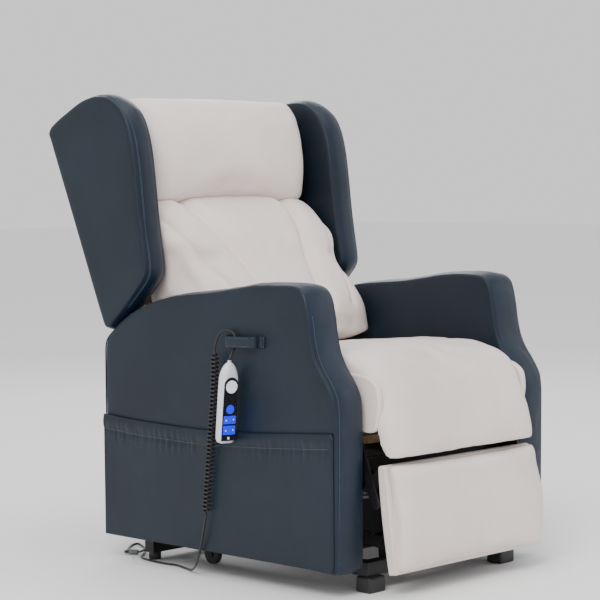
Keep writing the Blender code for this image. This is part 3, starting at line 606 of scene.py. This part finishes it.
def paint_band_light(obj, look):
    """Paint the faces that turn away from x, the top and front band of an arm or wing, with a second, bluer copy
    of the leather: painted light for the light those faces catch.
    """
    obj.data.materials.append(MAT[look])
    for face in obj.data.polygons:
        if abs(face.normal.x) < 0.55:
            face.material_index = 1


def arm(side, name):
    def pucker(x, place):
        edge = math.exp(-((abs(abs(x) - 0.335) / 0.02) ** 2))
        ripple = noise(Vector((x * 30, place.x * 38, place.y * 38)))
        return 0.0018 * ripple * edge + 0.0022 * noise(Vector((x * 9, place.x * 9, place.y * 9)))

    low, high = ARM_IN, ARM_OUT
    columns = [(side * x, inset) for x, inset in round_columns(low, high, 0.010, 0.0045, 0.026)]
    piece = lofted_pad("arm_upholstery_" + name, ARM_OUTLINE, columns, "navy_leather", "chassis",
                       0.007, pucker)
    # the top and front band take the bluer copy of the leather as painted light
    paint_band_light(piece, "navy_painted_light")
    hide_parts("arm_cover_" + name)

    # the welts take the bluer painted-light copy of the leather too
    for label, x in (("outer", ARM_OUT - 0.0032), ("inner", ARM_IN + 0.0032)):
        seam = [at(side * x, y, z) for y, z in ARM_SEAM]
        piping("arm_welt_{}_{}".format(label, name), resample(seam, 0.006), 0.0017, "navy_painted_light", "chassis")
    top = [at(side * (ARM_OUT - 0.0105), y, z + 0.0062) for y, z in ARM_SEAM[4:13]]
    front = [at(side * (ARM_OUT - 0.012), y - 0.0058, z) for y, z in ARM_SEAM[14:]]
    stitches("arm_stitching_" + name, [(top, (0, 0, 1)), (front, (0, -1, 0))], "navy_thread", "chassis")


# ---- pocket and strap -----------------------------------------------------------------------------
POCKET_TOP = [(-0.416, 0.360), (-0.30, 0.352), (-0.15, 0.342), (-0.03, 0.338), (0.065, 0.338), (0.239, 0.343),
              (0.326, 0.349)]
POCKET_HEM = 0.036


def line_at(line, y):
    """The height of a line of (y, z) points at y."""
    for (y0, z0), (y1, z1) in zip(line, line[1:]):
        if y <= y1:
            break
    t = max(0.0, min(1.0, (y - y0) / (y1 - y0)))
    return z0 + (z1 - z0) * t


def side_pocket():
    """The pocket panel: a gathered, elasticated hem over a flat sheet of leather."""
    columns, rows = 190, 60
    shape = bmesh.new()
    grid = []
    for i in range(columns + 1):
        y = -0.4165 + 0.742 * i / columns
        top = line_at(POCKET_TOP, y)
        near_handset = math.exp(-((y + 0.10) / 0.075) ** 2)
        line = []
        for j in range(rows + 1):
            t = j / rows
            z = 0.0625 + (top - 0.0625) * t
            below = top - z
            near_hem = math.exp(-((below - POCKET_HEM) / 0.020) ** 2)
            gather = 0.0030 * noise(Vector((y * 95, z * 10, 3.1))) * near_hem
            hem = (0.0022 * math.exp(-((below - 0.016) / 0.013) ** 2)
                   - 0.0018 * math.exp(-((below - POCKET_HEM) / 0.004) ** 2))
            sag = 0.0020 * math.sin(math.pi * min(1.0, below / 0.24)) * noise(Vector((y * 7, z * 9, 1.7)))
            lip = -0.0016 * math.exp(-(below / 0.004) ** 2)
            out = (gather + hem + sag) * (1 - 0.8 * near_handset) + lip
            line.append(shape.verts.new(at(-0.3656 - out, y, z)))
        grid.append(line)
    panel(shape, grid)
    mesh = thickened(finish_mesh("pocket_panel", shape), 0.0018, 0.0)
    piece = new_piece("pocket_panel", mesh, "navy_leather", "chassis")
    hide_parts("side_pocket")
    for label, y in (("rear", 0.3245), ("front", -0.4150)):
        line = [at(-0.3635, y, 0.068), at(-0.3635, y, line_at(POCKET_TOP, y) - 0.004)]
        piping("pocket_edge_" + label, resample(line, 0.01), 0.0030, "navy_leather", "chassis")
    bottom = [at(-0.3635, y, 0.0655) for y in (0.323, 0.1, -0.2, -0.413)]
    piping("pocket_edge_bottom", resample(bottom, 0.01), 0.0030, "navy_leather", "chassis")
    hem = [at(-0.3672, y, line_at(POCKET_TOP, y) - POCKET_HEM + 0.003)
           for y in (0.318, 0.2, 0.1, -0.02, -0.2, -0.3, -0.41)]
    stitches("pocket_hem_stitching", [(hem, (-1, 0, 0))], "navy_thread", "chassis")


def handset_strap():
    """A folded leather loop that stands off the arm, box-stitched flat at both ends."""
    band = 0.0032
    path = [(-0.3618, -0.2145), (-0.3618, -0.206), (-0.3640, -0.2015), (-0.3760, -0.1990), (-0.3815, -0.1930),
            (-0.3828, -0.1800), (-0.3830, -0.1500), (-0.3828, -0.1250), (-0.3810, -0.1120), (-0.3750, -0.1060),
            (-0.3650, -0.1035), (-0.3618, -0.1000), (-0.3618, -0.0925)]
    route = resample([Vector((x, y, 0.0)) for x, y in path], 0.0025)
    shape = bmesh.new()
    rings = []
    last = len(route) - 1
    for i, place in enumerate(route):
        ahead = (route[min(i + 1, last)] - route[max(i - 1, 0)]).normalized()
        out = Vector((-ahead.y, ahead.x, 0)) * -1
        rise = -0.018 * (place.y + 0.15)
        ring = []
        for k in range(16):
            a = 2 * math.pi * k / 16
            c, s = math.cos(a), math.sin(a)
            tall = 0.0125 * (abs(s) ** 0.35) * (1 if s >= 0 else -1)
            fold = 1 - 0.30 * math.exp(-(tall / 0.0018) ** 2)
            thick = band / 2 * (abs(c) ** 0.5) * (1 if c >= 0 else -1) * fold
            ring.append(shape.verts.new(at(*(place + out * thick)[:2], 0.543 + rise + tall)))
        rings.append(ring)
    skin(shape, rings)
    piece = new_piece("handset_loop", finish_mesh("handset_loop", shape), "navy_leather", "chassis")
    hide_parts("handset_strap")
    runs = []
    for y0, y1 in ((-0.2135, -0.2070), (-0.0990, -0.0935)):
        corners = [(y0, 0.5335), (y1, 0.5335), (y1, 0.5525), (y0, 0.5525), (y0, 0.5335)]
        for a, b in zip(corners, corners[1:]):
            runs.append(([at(-0.3637, *a), at(-0.3637, *b)], (-1, 0, 0)))
    for z in (0.5345, 0.5515):
        runs.append(([at(-0.3848, -0.186, z + 0.0006), at(-0.3848, -0.122, z - 0.0005)], (-1, 0, 0)))
    stitches("strap_stitching", runs, "navy_thread", "chassis", 0.003, 0.0015, 0.0004)


# ---- seat, leg rest -------------------------------------------------------------------------------
SEAT_OUTLINE = [(0.088, 0.372), (0.086, 0.480), (0.066, 0.497), (0.0, 0.506), (-0.096, 0.514), (-0.167, 0.519),
                (-0.259, 0.522), (-0.326, 0.522), (-0.370, 0.515), (-0.413, 0.502), (-0.438, 0.484),
                (-0.455, 0.456), (-0.471, 0.419), (-0.484, 0.383), (-0.494, 0.341), (-0.500, 0.304),
                (-0.494, 0.289), (-0.476, 0.292), (-0.455, 0.345), (-0.446, 0.385), (-0.432, 0.416),
                (-0.400, 0.427), (-0.310, 0.427), (-0.276, 0.420), (-0.270, 0.372), (-0.255, 0.366),
                (-0.1, 0.366), (0.070, 0.366)]


GUSSET_IN, GUSSET_OUT = 0.2410, 0.2555
GUSSET_OUTLINE = [(-0.443, 0.455), (-0.452, 0.420), (-0.448, 0.385), (-0.442, 0.360), (-0.425, 0.352),
                  (-0.380, 0.356), (-0.300, 0.368), (-0.262, 0.380), (-0.258, 0.440), (-0.300, 0.470),
                  (-0.400, 0.475)]


def seat():
    """Seat cushion and front border in one skin, with the rounded shoulders of a stuffed pad."""
    def shape_at(x, place, normal):
        y, z = place
        narrow = max(0.0, min(1.0, (-y - 0.27) / 0.06))
        half = SEAT_HALF - (SEAT_HALF - CHAISE_HALF) * narrow
        fall = edge_fall(x, SEAT_HALF, 0.060)
        front = max(0.0, min(1.0, (-y - 0.36) / 0.10))
        inset = 0.005 + fall * 0.020 * max(0.0, normal.y)
        back = 0.032 * fall * front
        return x * half / SEAT_HALF * SIDE_ROOM, y - normal.x * inset + back, z - normal.y * inset

    mesh = swept("seat_pad", SEAT_OUTLINE, SEAT_HALF, 60, shape_at)
    mesh = inflate(mesh, 0.006, 2.0, 0.006)
    wrinkle(mesh, 9.0, 0.0026)
    wrinkle(mesh, 34.0, 0.0010)
    carve(mesh, [[(-0.262 + X0, -0.262), (0.262 + X0, -0.262)]], 0.004, 0.010, Vector((0, 0, 1)),
          lambda p: (p.x, p.y))
    piece = new_piece("seat_pad", mesh, "cream_leather", None)
    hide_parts("seat_cushion", "chaise_pad")
    for side, name in ((1, "left"), (-1, "right")):
        columns = [(side * x, inset)
                   for x, inset in round_columns(GUSSET_IN, GUSSET_OUT, 0.003, 0.0, 0.005, 3, 4)]
        gusset = lofted_pad("seat_gusset_" + name, GUSSET_OUTLINE, columns, "cream_leather", "chassis",
                            0.006)
    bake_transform(piece)


PAD_OUTLINE = [(-0.4605, 0.276), (-0.466, 0.230), (-0.478, 0.120), (-0.4855, 0.056), (-0.490, 0.047),
               (-0.502, 0.049), (-0.511, 0.060), (-0.518, 0.082), (-0.5195, 0.114), (-0.5155, 0.181),
               (-0.508, 0.215), (-0.503, 0.245), (-0.498, 0.276), (-0.486, 0.289), (-0.466, 0.289)]


def leg_pad():
    def shape_at(x, place, normal):
        y, z = place
        fall = edge_fall(x, CHAISE_HALF, 0.045)
        ahead = max(0.0, min(1.0, (-0.112 * (z - 0.05) - 0.452 - y + 0.058 * (z - 0.05)) / 0.03))
        lowered = edge_fall(x, CHAISE_HALF, 0.03) * max(0.0, min(1.0, (0.09 - z) / 0.05))
        back = 0.020 * fall * ahead
        return x * PAD_ROOM, y - normal.x * PAD_SLACK + back, z - normal.y * PAD_SLACK + 0.010 * lowered

    mesh = swept("leg_pad", PAD_OUTLINE, CHAISE_HALF, 56, shape_at, 0.006)
    mesh = inflate(mesh, 0.005, 3.0, 0.007)
    wrinkle(mesh, 10.0, 0.0016)
    wrinkle(mesh, 40.0, 0.0005)
    piece = new_piece("leg_pad", mesh, "cream_leather", "legrest")
    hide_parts("legrest_pad")

    outline = [(-0.4445, 0.278), (-0.4735, 0.050), (-0.486, 0.050), (-0.4935, 0.052), (-0.4640, 0.280)]
    columns = [(x, inset) for x, inset in round_columns(-CHAISE_HALF, CHAISE_HALF, 0.004, 0.0, 0.008, 3, 4)]
    back = lofted_pad("leg_pad_border", outline, columns, "cream_leather", "legrest", 0.004)
    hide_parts("legrest_board")
    for side, name in ((1, "left"), (-1, "right")):
        seam = [at(side * (CHAISE_HALF - 0.001), y, z)
                for y, z in ((-0.464, 0.279), (-0.478, 0.170), (-0.4925, 0.054))]
        piping("leg_pad_welt_" + name, resample(seam, 0.006), 0.0024, "cream_leather", "legrest")


# ---- backrest -------------------------------------------------------------------------------------
BACK_FRONT = [(0.004, 0.514), (-0.001, 0.540), (0.014, 0.600), (0.058, 0.660), (0.104, 0.715), (0.140, 0.762),
              (0.180, 0.805), (0.222, 0.838), (0.270, 0.856)]
BACK_OUTLINE = BACK_FRONT + [(0.390, 0.858), (0.382, 0.830), (0.262, 0.540), (0.250, 0.517), (0.120, 0.512)]
FAN_SEAMS = [
    [(-0.168, 0.850), (-0.149, 0.800), (-0.124, 0.745), (-0.098, 0.665), (-0.085, 0.600)],
    [(0.168, 0.850), (0.149, 0.800), (0.124, 0.745), (0.098, 0.665), (0.085, 0.600)],
]
SIDE_SEAMS = [
    [(-0.262, 0.800), (-0.236, 0.745), (-0.200, 0.665), (-0.180, 0.600)],
    [(0.262, 0.800), (0.236, 0.745), (0.200, 0.665), (0.180, 0.600)],
]


def back_cushion():
    def shape_at(x, place, normal):
        y, z = place
        wide = max(0.0, min(1.0, (z - 0.71) / 0.06))
        half = SEAT_HALF + 0.026 * wide
        front = max(0.0, -normal.x)
        up = max(0.0, normal.y)
        crown = (x / SEAT_HALF) ** 2
        fall = edge_fall(x, SEAT_HALF, 0.07)
        high = max(0.0, min(1.0, (z - 0.74) / 0.10))
        inset = 0.006 + crown * 0.012 * front + fall * 0.012 * up
        ahead = max(0.0, min(1.0, (0.296 + (z - 0.562) * 0.429 - y) / 0.12))
        back = fall * ahead * (0.030 + 0.030 * high)
        return x * half / SEAT_HALF * PAD_ROOM, y - normal.x * inset + back, z - normal.y * inset

    mesh = swept("back_pad", BACK_OUTLINE, SEAT_HALF, 64, shape_at)
    mesh = inflate(mesh, 0.006, 3.5, 0.012)
    wrinkle(mesh, 8.0, 0.0034)
    wrinkle(mesh, 30.0, 0.0012)
    lines = [[(x + X0, z) for x, z in line] for line in FAN_SEAMS]
    carve(mesh, lines, 0.0190, 0.019, Vector((0, -1, 0.3)).normalized(), lambda p: (p.x, p.z))
    lines = [[(x + X0, z) for x, z in line] for line in SIDE_SEAMS]
    carve(mesh, lines, 0.0050, 0.012, Vector((0, -1, 0.3)).normalized(), lambda p: (p.x, p.z))
    piece = new_piece("back_pad", mesh, "cream_leather", "backrest")
    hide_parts("back_cushion")


PILLOW_OUTLINE = [(0.405, 0.866), (0.330, 0.856), (0.272, 0.850), (0.240, 0.862), (0.228, 0.900), (0.228, 0.955),
                  (0.242, 1.025), (0.264, 1.070), (0.302, 1.096), (0.345, 1.101), (0.398, 1.090), (0.438, 1.062),
                  (0.450, 1.010), (0.430, 0.930)]


def pillow():
    def shape_at(x, place, normal):
        y, z = place
        fall = edge_fall(x, PILLOW_HALF, 0.08)
        droop = -0.016 * (abs(x) / PILLOW_HALF) ** 2 * max(0.0, min(1.0, (0.93 - z) / 0.07))
        front = max(0.0, -normal.x)
        ahead = max(0.0, min(1.0, (0.36 - y) / 0.09))
        inset = 0.006 + edge_fall(x, PILLOW_HALF, 0.05) * 0.010
        back = 0.055 * fall * ahead + 0.012 * (x / PILLOW_HALF) ** 2 * front
        return x * PAD_ROOM, y - normal.x * inset + back, z - normal.y * inset + droop

    mesh = swept("head_pad", PILLOW_OUTLINE, PILLOW_HALF, 60, shape_at)
    mesh = inflate(mesh, 0.006, 3.5, 0.010)
    wrinkle(mesh, 9.0, 0.0020)
    wrinkle(mesh, 36.0, 0.0006)
    piece = new_piece("head_pad", mesh, "cream_leather", "backrest")
    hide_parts("headrest_pillow")


WING_OUTLINE = [(0.305, 0.558), (0.3165, 0.554), (0.326, 0.564), (0.420, 0.782), (0.514, 1.000), (0.5200, 1.015),
                (0.507, 1.033), (0.448, 1.065), (0.391, 1.090), (0.345, 1.098), (0.300, 1.093), (0.255, 1.066),
                (0.232, 1.035), (0.216, 0.990), (0.205, 0.930), (0.193, 0.830), (0.184, 0.770), (0.173, 0.700),
                (0.177, 0.679), (0.195, 0.657), (0.250, 0.605)]
WING_FRONT = WING_OUTLINE[9:]


def wing(side, name):
    def pucker(x, place):
        ripple = noise(Vector((x * 24, place.x * 30, place.y * 30)))
        return 0.0010 * ripple + 0.0018 * noise(Vector((x * 8, place.x * 8, place.y * 8)))

    columns = [(side * x, inset) for x, inset in round_columns(WING_IN, WING_OUT, 0.009, 0.006, 0.022)]
    piece = lofted_pad("wing_upholstery_" + name, WING_OUTLINE, columns, "navy_leather", "backrest",
                       0.007, pucker)
    # the top and front band take the bluer copy of the leather as painted light
    paint_band_light(piece, "navy_painted_light")
    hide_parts("wing_" + name)
    runs = []
    # the welts take the bluer painted-light copy of the leather too
    for label, x in (("outer", WING_OUT - 0.0030), ("inner", WING_IN + 0.0030)):
        seam = resample([Vector((0, *p)) for p in WING_OUTLINE], 0.006, closed=True)
        flat = [Vector((p.y, p.z)) for p in seam]
        ring = [at(side * x, p.x - n.x * 0.0030, p.y - n.y * 0.0030) for p, n in zip(flat, normals_of(flat))]
        piping("wing_welt_{}_{}".format(label, name), ring + ring[:1], 0.0016, "navy_painted_light", "backrest")
    front = resample([Vector((0, *p)) for p in WING_FRONT], 0.01)
    flat = [Vector((p.y, p.z)) for p in front]
    for inward in (0.0125, 0.0155):
        line = []
        for i, p in enumerate(flat):
            ahead = flat[min(i + 1, len(flat) - 1)] - flat[max(i - 1, 0)]
            out = Vector((-ahead.y, ahead.x)).normalized()
            out = out if out.x < 0 or out.y > 0.8 else -out
            line.append(at(side * (WING_OUT - inward), p.x + out.x * 0.0028, p.y + out.y * 0.0028))
        runs.append((line, (0, -1, 0.2)))
    stitches("wing_stitching_" + name, runs, "navy_thread", "backrest", 0.0038, 0.0022, 0.0005)


def rear_panel():
    """The leather skin of the back: two stitched halves, slightly puffed."""
    def plane(z, inset):
        return 0.326 + (z - 0.562) * 0.429 - inset

    shape = bmesh.new()
    rows, columns = 60, 60
    grid = []
    for i in range(rows + 1):
        z = 0.432 + (1.008 - 0.432) * i / rows
        half = 0.259 + 0.037 * max(0.0, min(1.0, (z - 0.61) / 0.03))
        line = []
        for j in range(columns + 1):
            u = -1 + 2 * j / columns
            v = -1 + 2 * i / rows
            puff = 0.004 * (1 - u ** 6) * (1 - v ** 6) - 0.003 * math.exp(-((z - 0.72) / 0.004) ** 2)
            puff += 0.0014 * noise(Vector((u * 2.4, v * 2.4, 5.0)))
            line.append(shape.verts.new(at(u * half, plane(z, 0.004) + puff, z - puff * 0.4)))
        grid.append(line)
    panel(shape, grid)
    mesh = finish_mesh("rear_upholstery", shape)
    mesh = thickened(mesh, 0.008, -1.0 if mesh.polygons[0].normal.y > 0 else 1.0)
    piece = new_piece("rear_upholstery", mesh, "navy_leather", "backrest")
    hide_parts("back_panel")
    seam = [at(u * 0.288, plane(0.7215, 0.002) + 0.0012, 0.7235) for u in (-1, -0.5, 0, 0.5, 1)]
    stitches("rear_stitching", [(seam, (0, 1, -0.4))], "navy_thread", "backrest")


# ---- handset --------------------------------------------------------------------------------------
HANDSET = (Matrix.Translation(at(-0.391, -0.115, 0.319)) @ Matrix.Rotation(math.radians(6.0), 4, "X")
           @ Matrix.Rotation(math.radians(-10.0), 4, "Z"))
HANDSET_LENGTH = 0.181
SHELL_FRONT = -0.0128          # the flat the key panel stands on
# height along the handset, half width, half depth
HANDSET_SECTIONS = [(0.0, 0.0120, 0.0070), (0.0015, 0.0165, 0.0105), (0.006, 0.0190, 0.0126),
                    (0.014, 0.0200, 0.0135), (0.040, 0.0203, 0.0138), (0.090, 0.0206, 0.0139),
                    (0.125, 0.0208, 0.0139), (0.145, 0.0204, 0.0136), (0.158, 0.0188, 0.0128),
                    (0.168, 0.0158, 0.0112), (0.175, 0.0116, 0.0088), (0.1795, 0.0066, 0.0056),
                    (0.181, 0.0042, 0.0042)]


def handset_shell():
    """The moulded body: a rounded, flat-faced section lofted from foot to domed head."""
    shape = bmesh.new()
    rings = []
    for i in range(len(HANDSET_SECTIONS) * 4 - 3):
        k, t = divmod(i, 4)
        a = HANDSET_SECTIONS[k]
        b = HANDSET_SECTIONS[min(k + 1, len(HANDSET_SECTIONS) - 1)]
        z, wide, deep = (p + (q - p) * t / 4 for p, q in zip(a, b))
        ring = []
        for j in range(40):
            angle = 2 * math.pi * j / 40
            c, s = math.cos(angle), math.sin(angle)
            power = 0.52 if z < 0.15 else 0.52 + 0.48 * min(1.0, (z - 0.15) / 0.028)
            x = wide * math.copysign(abs(c) ** power, c)
            y = max(deep * math.copysign(abs(s) ** power, s), SHELL_FRONT)
            ring.append(shape.verts.new(HANDSET @ Vector((x, y, z))))
        rings.append(ring)
    skin(shape, rings)
    piece = new_piece("handset_body", finish_mesh("handset_body", shape), "silver_plastic", "chassis")
    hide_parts("handset_shell")
    seam = []
    for z, wide, _ in HANDSET_SECTIONS[2:-2]:
        seam.append(HANDSET @ Vector((wide + 0.00005, 0.002, z)))
    piping("handset_seam", resample(seam, 0.004), 0.00035, "panel_plastic", "chassis", 6)
    ribs = [HANDSET @ Vector((0, 0, HANDSET_LENGTH + h)) for h in (-0.001, 0.001, 0.0024, 0.0038)]

    def ribbed(t):
        return 0.0040 + 0.0004 * math.cos(t * math.pi * 6)
    piping("handset_nipple", resample(ribs, 0.0003), ribbed, "silver_plastic", "chassis", 16)


def arrow_mark(name, body, height, offset, up, size=0.0032):
    """A small raised arrowhead on a key."""
    shape = bmesh.new()
    front = -0.014 - 0.00165
    tip = height + (size if up else -size) * 0.6
    foot = height - (size if up else -size) * 0.6
    flat = [(offset - size * 0.7, foot), (offset + size * 0.7, foot), (offset, tip)]
    ends = [[shape.verts.new(HANDSET @ Vector((x, y, z))) for x, z in flat] for y in (front, front + 0.0004)]
    shape.faces.new(ends[0])
    shape.faces.new(ends[1][::-1])
    for k in range(3):
        shape.faces.new((ends[0][k], ends[0][(k + 1) % 3], ends[1][(k + 1) % 3], ends[1][k]))
    new_piece(name, finish_mesh(name, shape), "white_key", body, smooth=False)


def handset_marks():
    for body, height in (("key_upper", 0.0540), ("key_lower", 0.0310)):
        for offset, up, label in ((-0.0095, True, "up"), (0.0095, False, "down")):
            arrow_mark("{}_{}".format(body, label), body, height, offset, up)
    ring = [HANDSET @ Vector((0.0149 * math.cos(a), -0.0141, 0.128 + 0.0149 * math.sin(a)))
            for a in (2 * math.pi * k / 40 for k in range(41))]
    piping("white_key_ring", ring, 0.0005, "panel_plastic", "chassis")


# ---- cord -----------------------------------------------------------------------------------------
CORD_DIAMETER = 0.005
LEAD_ROUTE = [(-0.391, -0.1345, 0.5038), (-0.3888, -0.135, 0.5110), (-0.3835, -0.1345, 0.5190),
              (-0.3765, -0.1335, 0.5265), (-0.3705, -0.132, 0.5370), (-0.3680, -0.129, 0.5500),
              (-0.3678, -0.124, 0.5595), (-0.369, -0.116, 0.5650), (-0.372, -0.106, 0.5670),
              (-0.3755, -0.096, 0.5655), (-0.3777, -0.0865, 0.5590), (-0.3784, -0.0803, 0.5490),
              (-0.3783, -0.0763, 0.5380), (-0.378, -0.0738, 0.5280), (-0.3778, -0.0725, 0.5185)]
COIL_ROUTE = [(-0.3778, -0.0725, 0.518), (-0.3778, -0.0705, 0.455), (-0.3778, -0.059, 0.342),
              (-0.3778, -0.048, 0.251), (-0.3778, -0.036, 0.148)]
TAIL_ROUTE = [(-0.3778, -0.0355, 0.1475), (-0.377, -0.031, 0.120), (-0.376, -0.022, 0.090),
              (-0.373, -0.010, 0.060), (-0.366, 0.006, 0.035), (-0.355, 0.028, 0.016), (-0.342, 0.052, 0.0065),
              (-0.330, 0.080, 0.0035), (-0.315, 0.132, 0.0030), (-0.319, 0.163, 0.0030), (-0.319, 0.195, 0.0030),
              (-0.3145, 0.235, 0.0030), (-0.302, 0.272, 0.0030), (-0.268, 0.302, 0.0030), (-0.229, 0.341, 0.0030),
              (-0.201, 0.386, 0.0030), (-0.190, 0.414, 0.0030), (-0.205, 0.413, 0.0030), (-0.242, 0.387, 0.0030),
              (-0.267, 0.362, 0.0035), (-0.2820, 0.3520, 0.0045), (-0.2900, 0.3445, 0.0056),
              (-0.2903, 0.3388, 0.0061), (-0.2876, 0.3341, 0.0062)]
CONTROL_ROUTE = [(-0.2755, 0.3131, 0.0062), (-0.2732, 0.3093, 0.0066), (-0.2700, 0.3055, 0.0090),
                 (-0.263, 0.3030, 0.0108), (-0.252, 0.3040, 0.0130), (-0.242, 0.3040, 0.0190),
                 (-0.234, 0.2990, 0.0330), (-0.226, 0.2950, 0.0600), (-0.217, 0.2920, 0.0950),
                 (-0.209, 0.2840, 0.1280), (-0.2055, 0.2660, 0.1470), (-0.205, 0.2403, 0.1500)]
TURNS = 40
COIL_OUTER = 0.0095
RELIEF_STEPS = 8


def poly_cord(name, points, look):
    curve = bpy.data.curves.new(name, "CURVE")
    curve.dimensions = "3D"
    curve.bevel_depth = CORD_DIAMETER / 2
    curve.bevel_resolution = 3
    curve.use_fill_caps = True
    spline = curve.splines.new("POLY")
    spline.points.add(len(points) - 1)
    for point, place in zip(spline.points, points):
        point.co = (*place, 1.0)
    curve.materials.append(MAT[look])
    obj = bpy.data.objects.new(name, curve)
    bpy.context.scene.collection.objects.link(obj)
    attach(obj, "chassis")
    return obj


def soothed(points, middle, reach=22, rounds=24):
    """The same points with the bend around one of them rounded off."""
    for _ in range(rounds):
        moved = list(points)
        for i in range(middle - reach + 1, middle + reach):
            share = 0.5 * (1 - ((i - middle) / reach) ** 2) ** 2
            moved[i] = points[i].lerp((points[i - 1] + points[i + 1]) / 2, share)
        points = moved
    return points


def handset_cord_points():
    """Out of the handset, over the strap, down through the helix and on to the floor, as one run."""
    lead = resample([at(*p) for p in LEAD_ROUTE], 0.004)
    coil_line = resample([at(*p) for p in COIL_ROUTE], 0.002)
    tail = resample([at(*p) for p in TAIL_ROUTE], 0.006)
    steps = TURNS * 16
    helix = []
    lasting = len(coil_line) - 1
    for i in range(1, steps):
        t = i / steps
        k = min(int(t * lasting), lasting - 1)
        place = coil_line[k].lerp(coil_line[k + 1], t * lasting - k)
        sway = 0.0007 * noise(Vector((t * 9, 2.0, 0.0)))
        ease = min(1.0, t * TURNS / 0.7, (1 - t) * TURNS / 0.7)
        radius = (COIL_OUTER - CORD_DIAMETER / 2 + 0.0002) * ease * (1.0 - 0.14 * t)
        turn = 2 * math.pi * TURNS * t + 1.2
        helix.append(place + Vector((radius * math.cos(turn), radius * math.sin(turn) + sway, 0)))
    points = lead[:-1] + helix + tail[1:]
    points = soothed(points, len(lead) - 1)
    return soothed(points, len(lead) - 1 + len(helix))


def cords():
    points = handset_cord_points()
    piece = poly_cord("handset_cord", points, "black_cord")
    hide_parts("cord_lead", "cord_coil", "cord_tail")
    points = resample([at(*p) for p in CONTROL_ROUTE], 0.004)
    lead = poly_cord("control_cord", points, "black_cord")
    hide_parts("control_lead")


def strain_reliefs():
    """Tapered sleeves where the cord leaves its plug and where the lead enters the control box."""
    for name, route in (("plug_relief", TAIL_ROUTE[:-4:-1]), ("gland_relief", CONTROL_ROUTE[:-3:-1])):
        sleeve = resample([at(*p) for p in route], 0.002)[:RELIEF_STEPS]

        def ribbed(t):
            return 0.0046 - 0.0014 * t + 0.0003 * math.cos(t * math.pi * 8)
        piping(name, sleeve, ribbed, "black_cord", "chassis", 16)


# ---- stage ----------------------------------------------------------------------------------------
# name, place, width, power in watts, colour
LIGHTS = [("key", (-3.6, -2.2, 3.6), 2.0, 170.0, (1.0, 0.985, 0.96)),
          ("fill", (3.4, -3.6, 2.4), 3.0, 30.0, (0.95, 0.975, 1.0)),
          ("top", (0.2, -0.4, 4.0), 2.5, 40.0, (1.0, 1.0, 1.0)),
          ("rim", (2.6, 3.0, 3.0), 2.0, 40.0, (0.92, 0.96, 1.0))]
LIGHTS_AIM = (0, 0, 0.55)
WORLD_STRENGTH = 1.0


def stage():
    mesh = bpy.data.meshes.new("floor")
    shape = bmesh.new()
    bmesh.ops.create_grid(shape, x_segments=1, y_segments=1, size=30.0)
    shape.to_mesh(mesh)
    shape.free()
    floor = bpy.data.objects.new("floor", mesh)
    bpy.context.scene.collection.objects.link(floor)
    look = Nodes("floor_look", 0.9)
    look.colour(look.mix(look.noise(2.0), (0.93, 0.93, 0.93), (0.90, 0.90, 0.90)))
    mesh.materials.append(look.mat)
    world = bpy.data.worlds.new("world")
    world.use_nodes = True
    world.node_tree.nodes["Background"].inputs["Color"].default_value = (1.0, 1.0, 1.0, 1.0)
    world.node_tree.nodes["Background"].inputs["Strength"].default_value = WORLD_STRENGTH
    bpy.context.scene.world = world
    for name, place, size, power, colour in LIGHTS:
        data = bpy.data.lights.new(name, "AREA")
        data.size = size
        data.energy = power
        data.color = colour
        lamp = bpy.data.objects.new(name, data)
        lamp.location = place
        lamp.rotation_euler = (Vector(LIGHTS_AIM) - Vector(place)).to_track_quat("-Z", "Y").to_euler()
        bpy.context.scene.collection.objects.link(lamp)


# ---- make it --------------------------------------------------------------------------------------
make_camera()
paint_frame()
cords()
strain_reliefs()
for arm_side, arm_name in ((1, "left"), (-1, "right")):
    arm(arm_side, arm_name)
    wing(arm_side, arm_name)
side_pocket()
handset_strap()
seat()
leg_pad()
back_cushion()
pillow()
rear_panel()
handset_shell()
handset_marks()
stage()
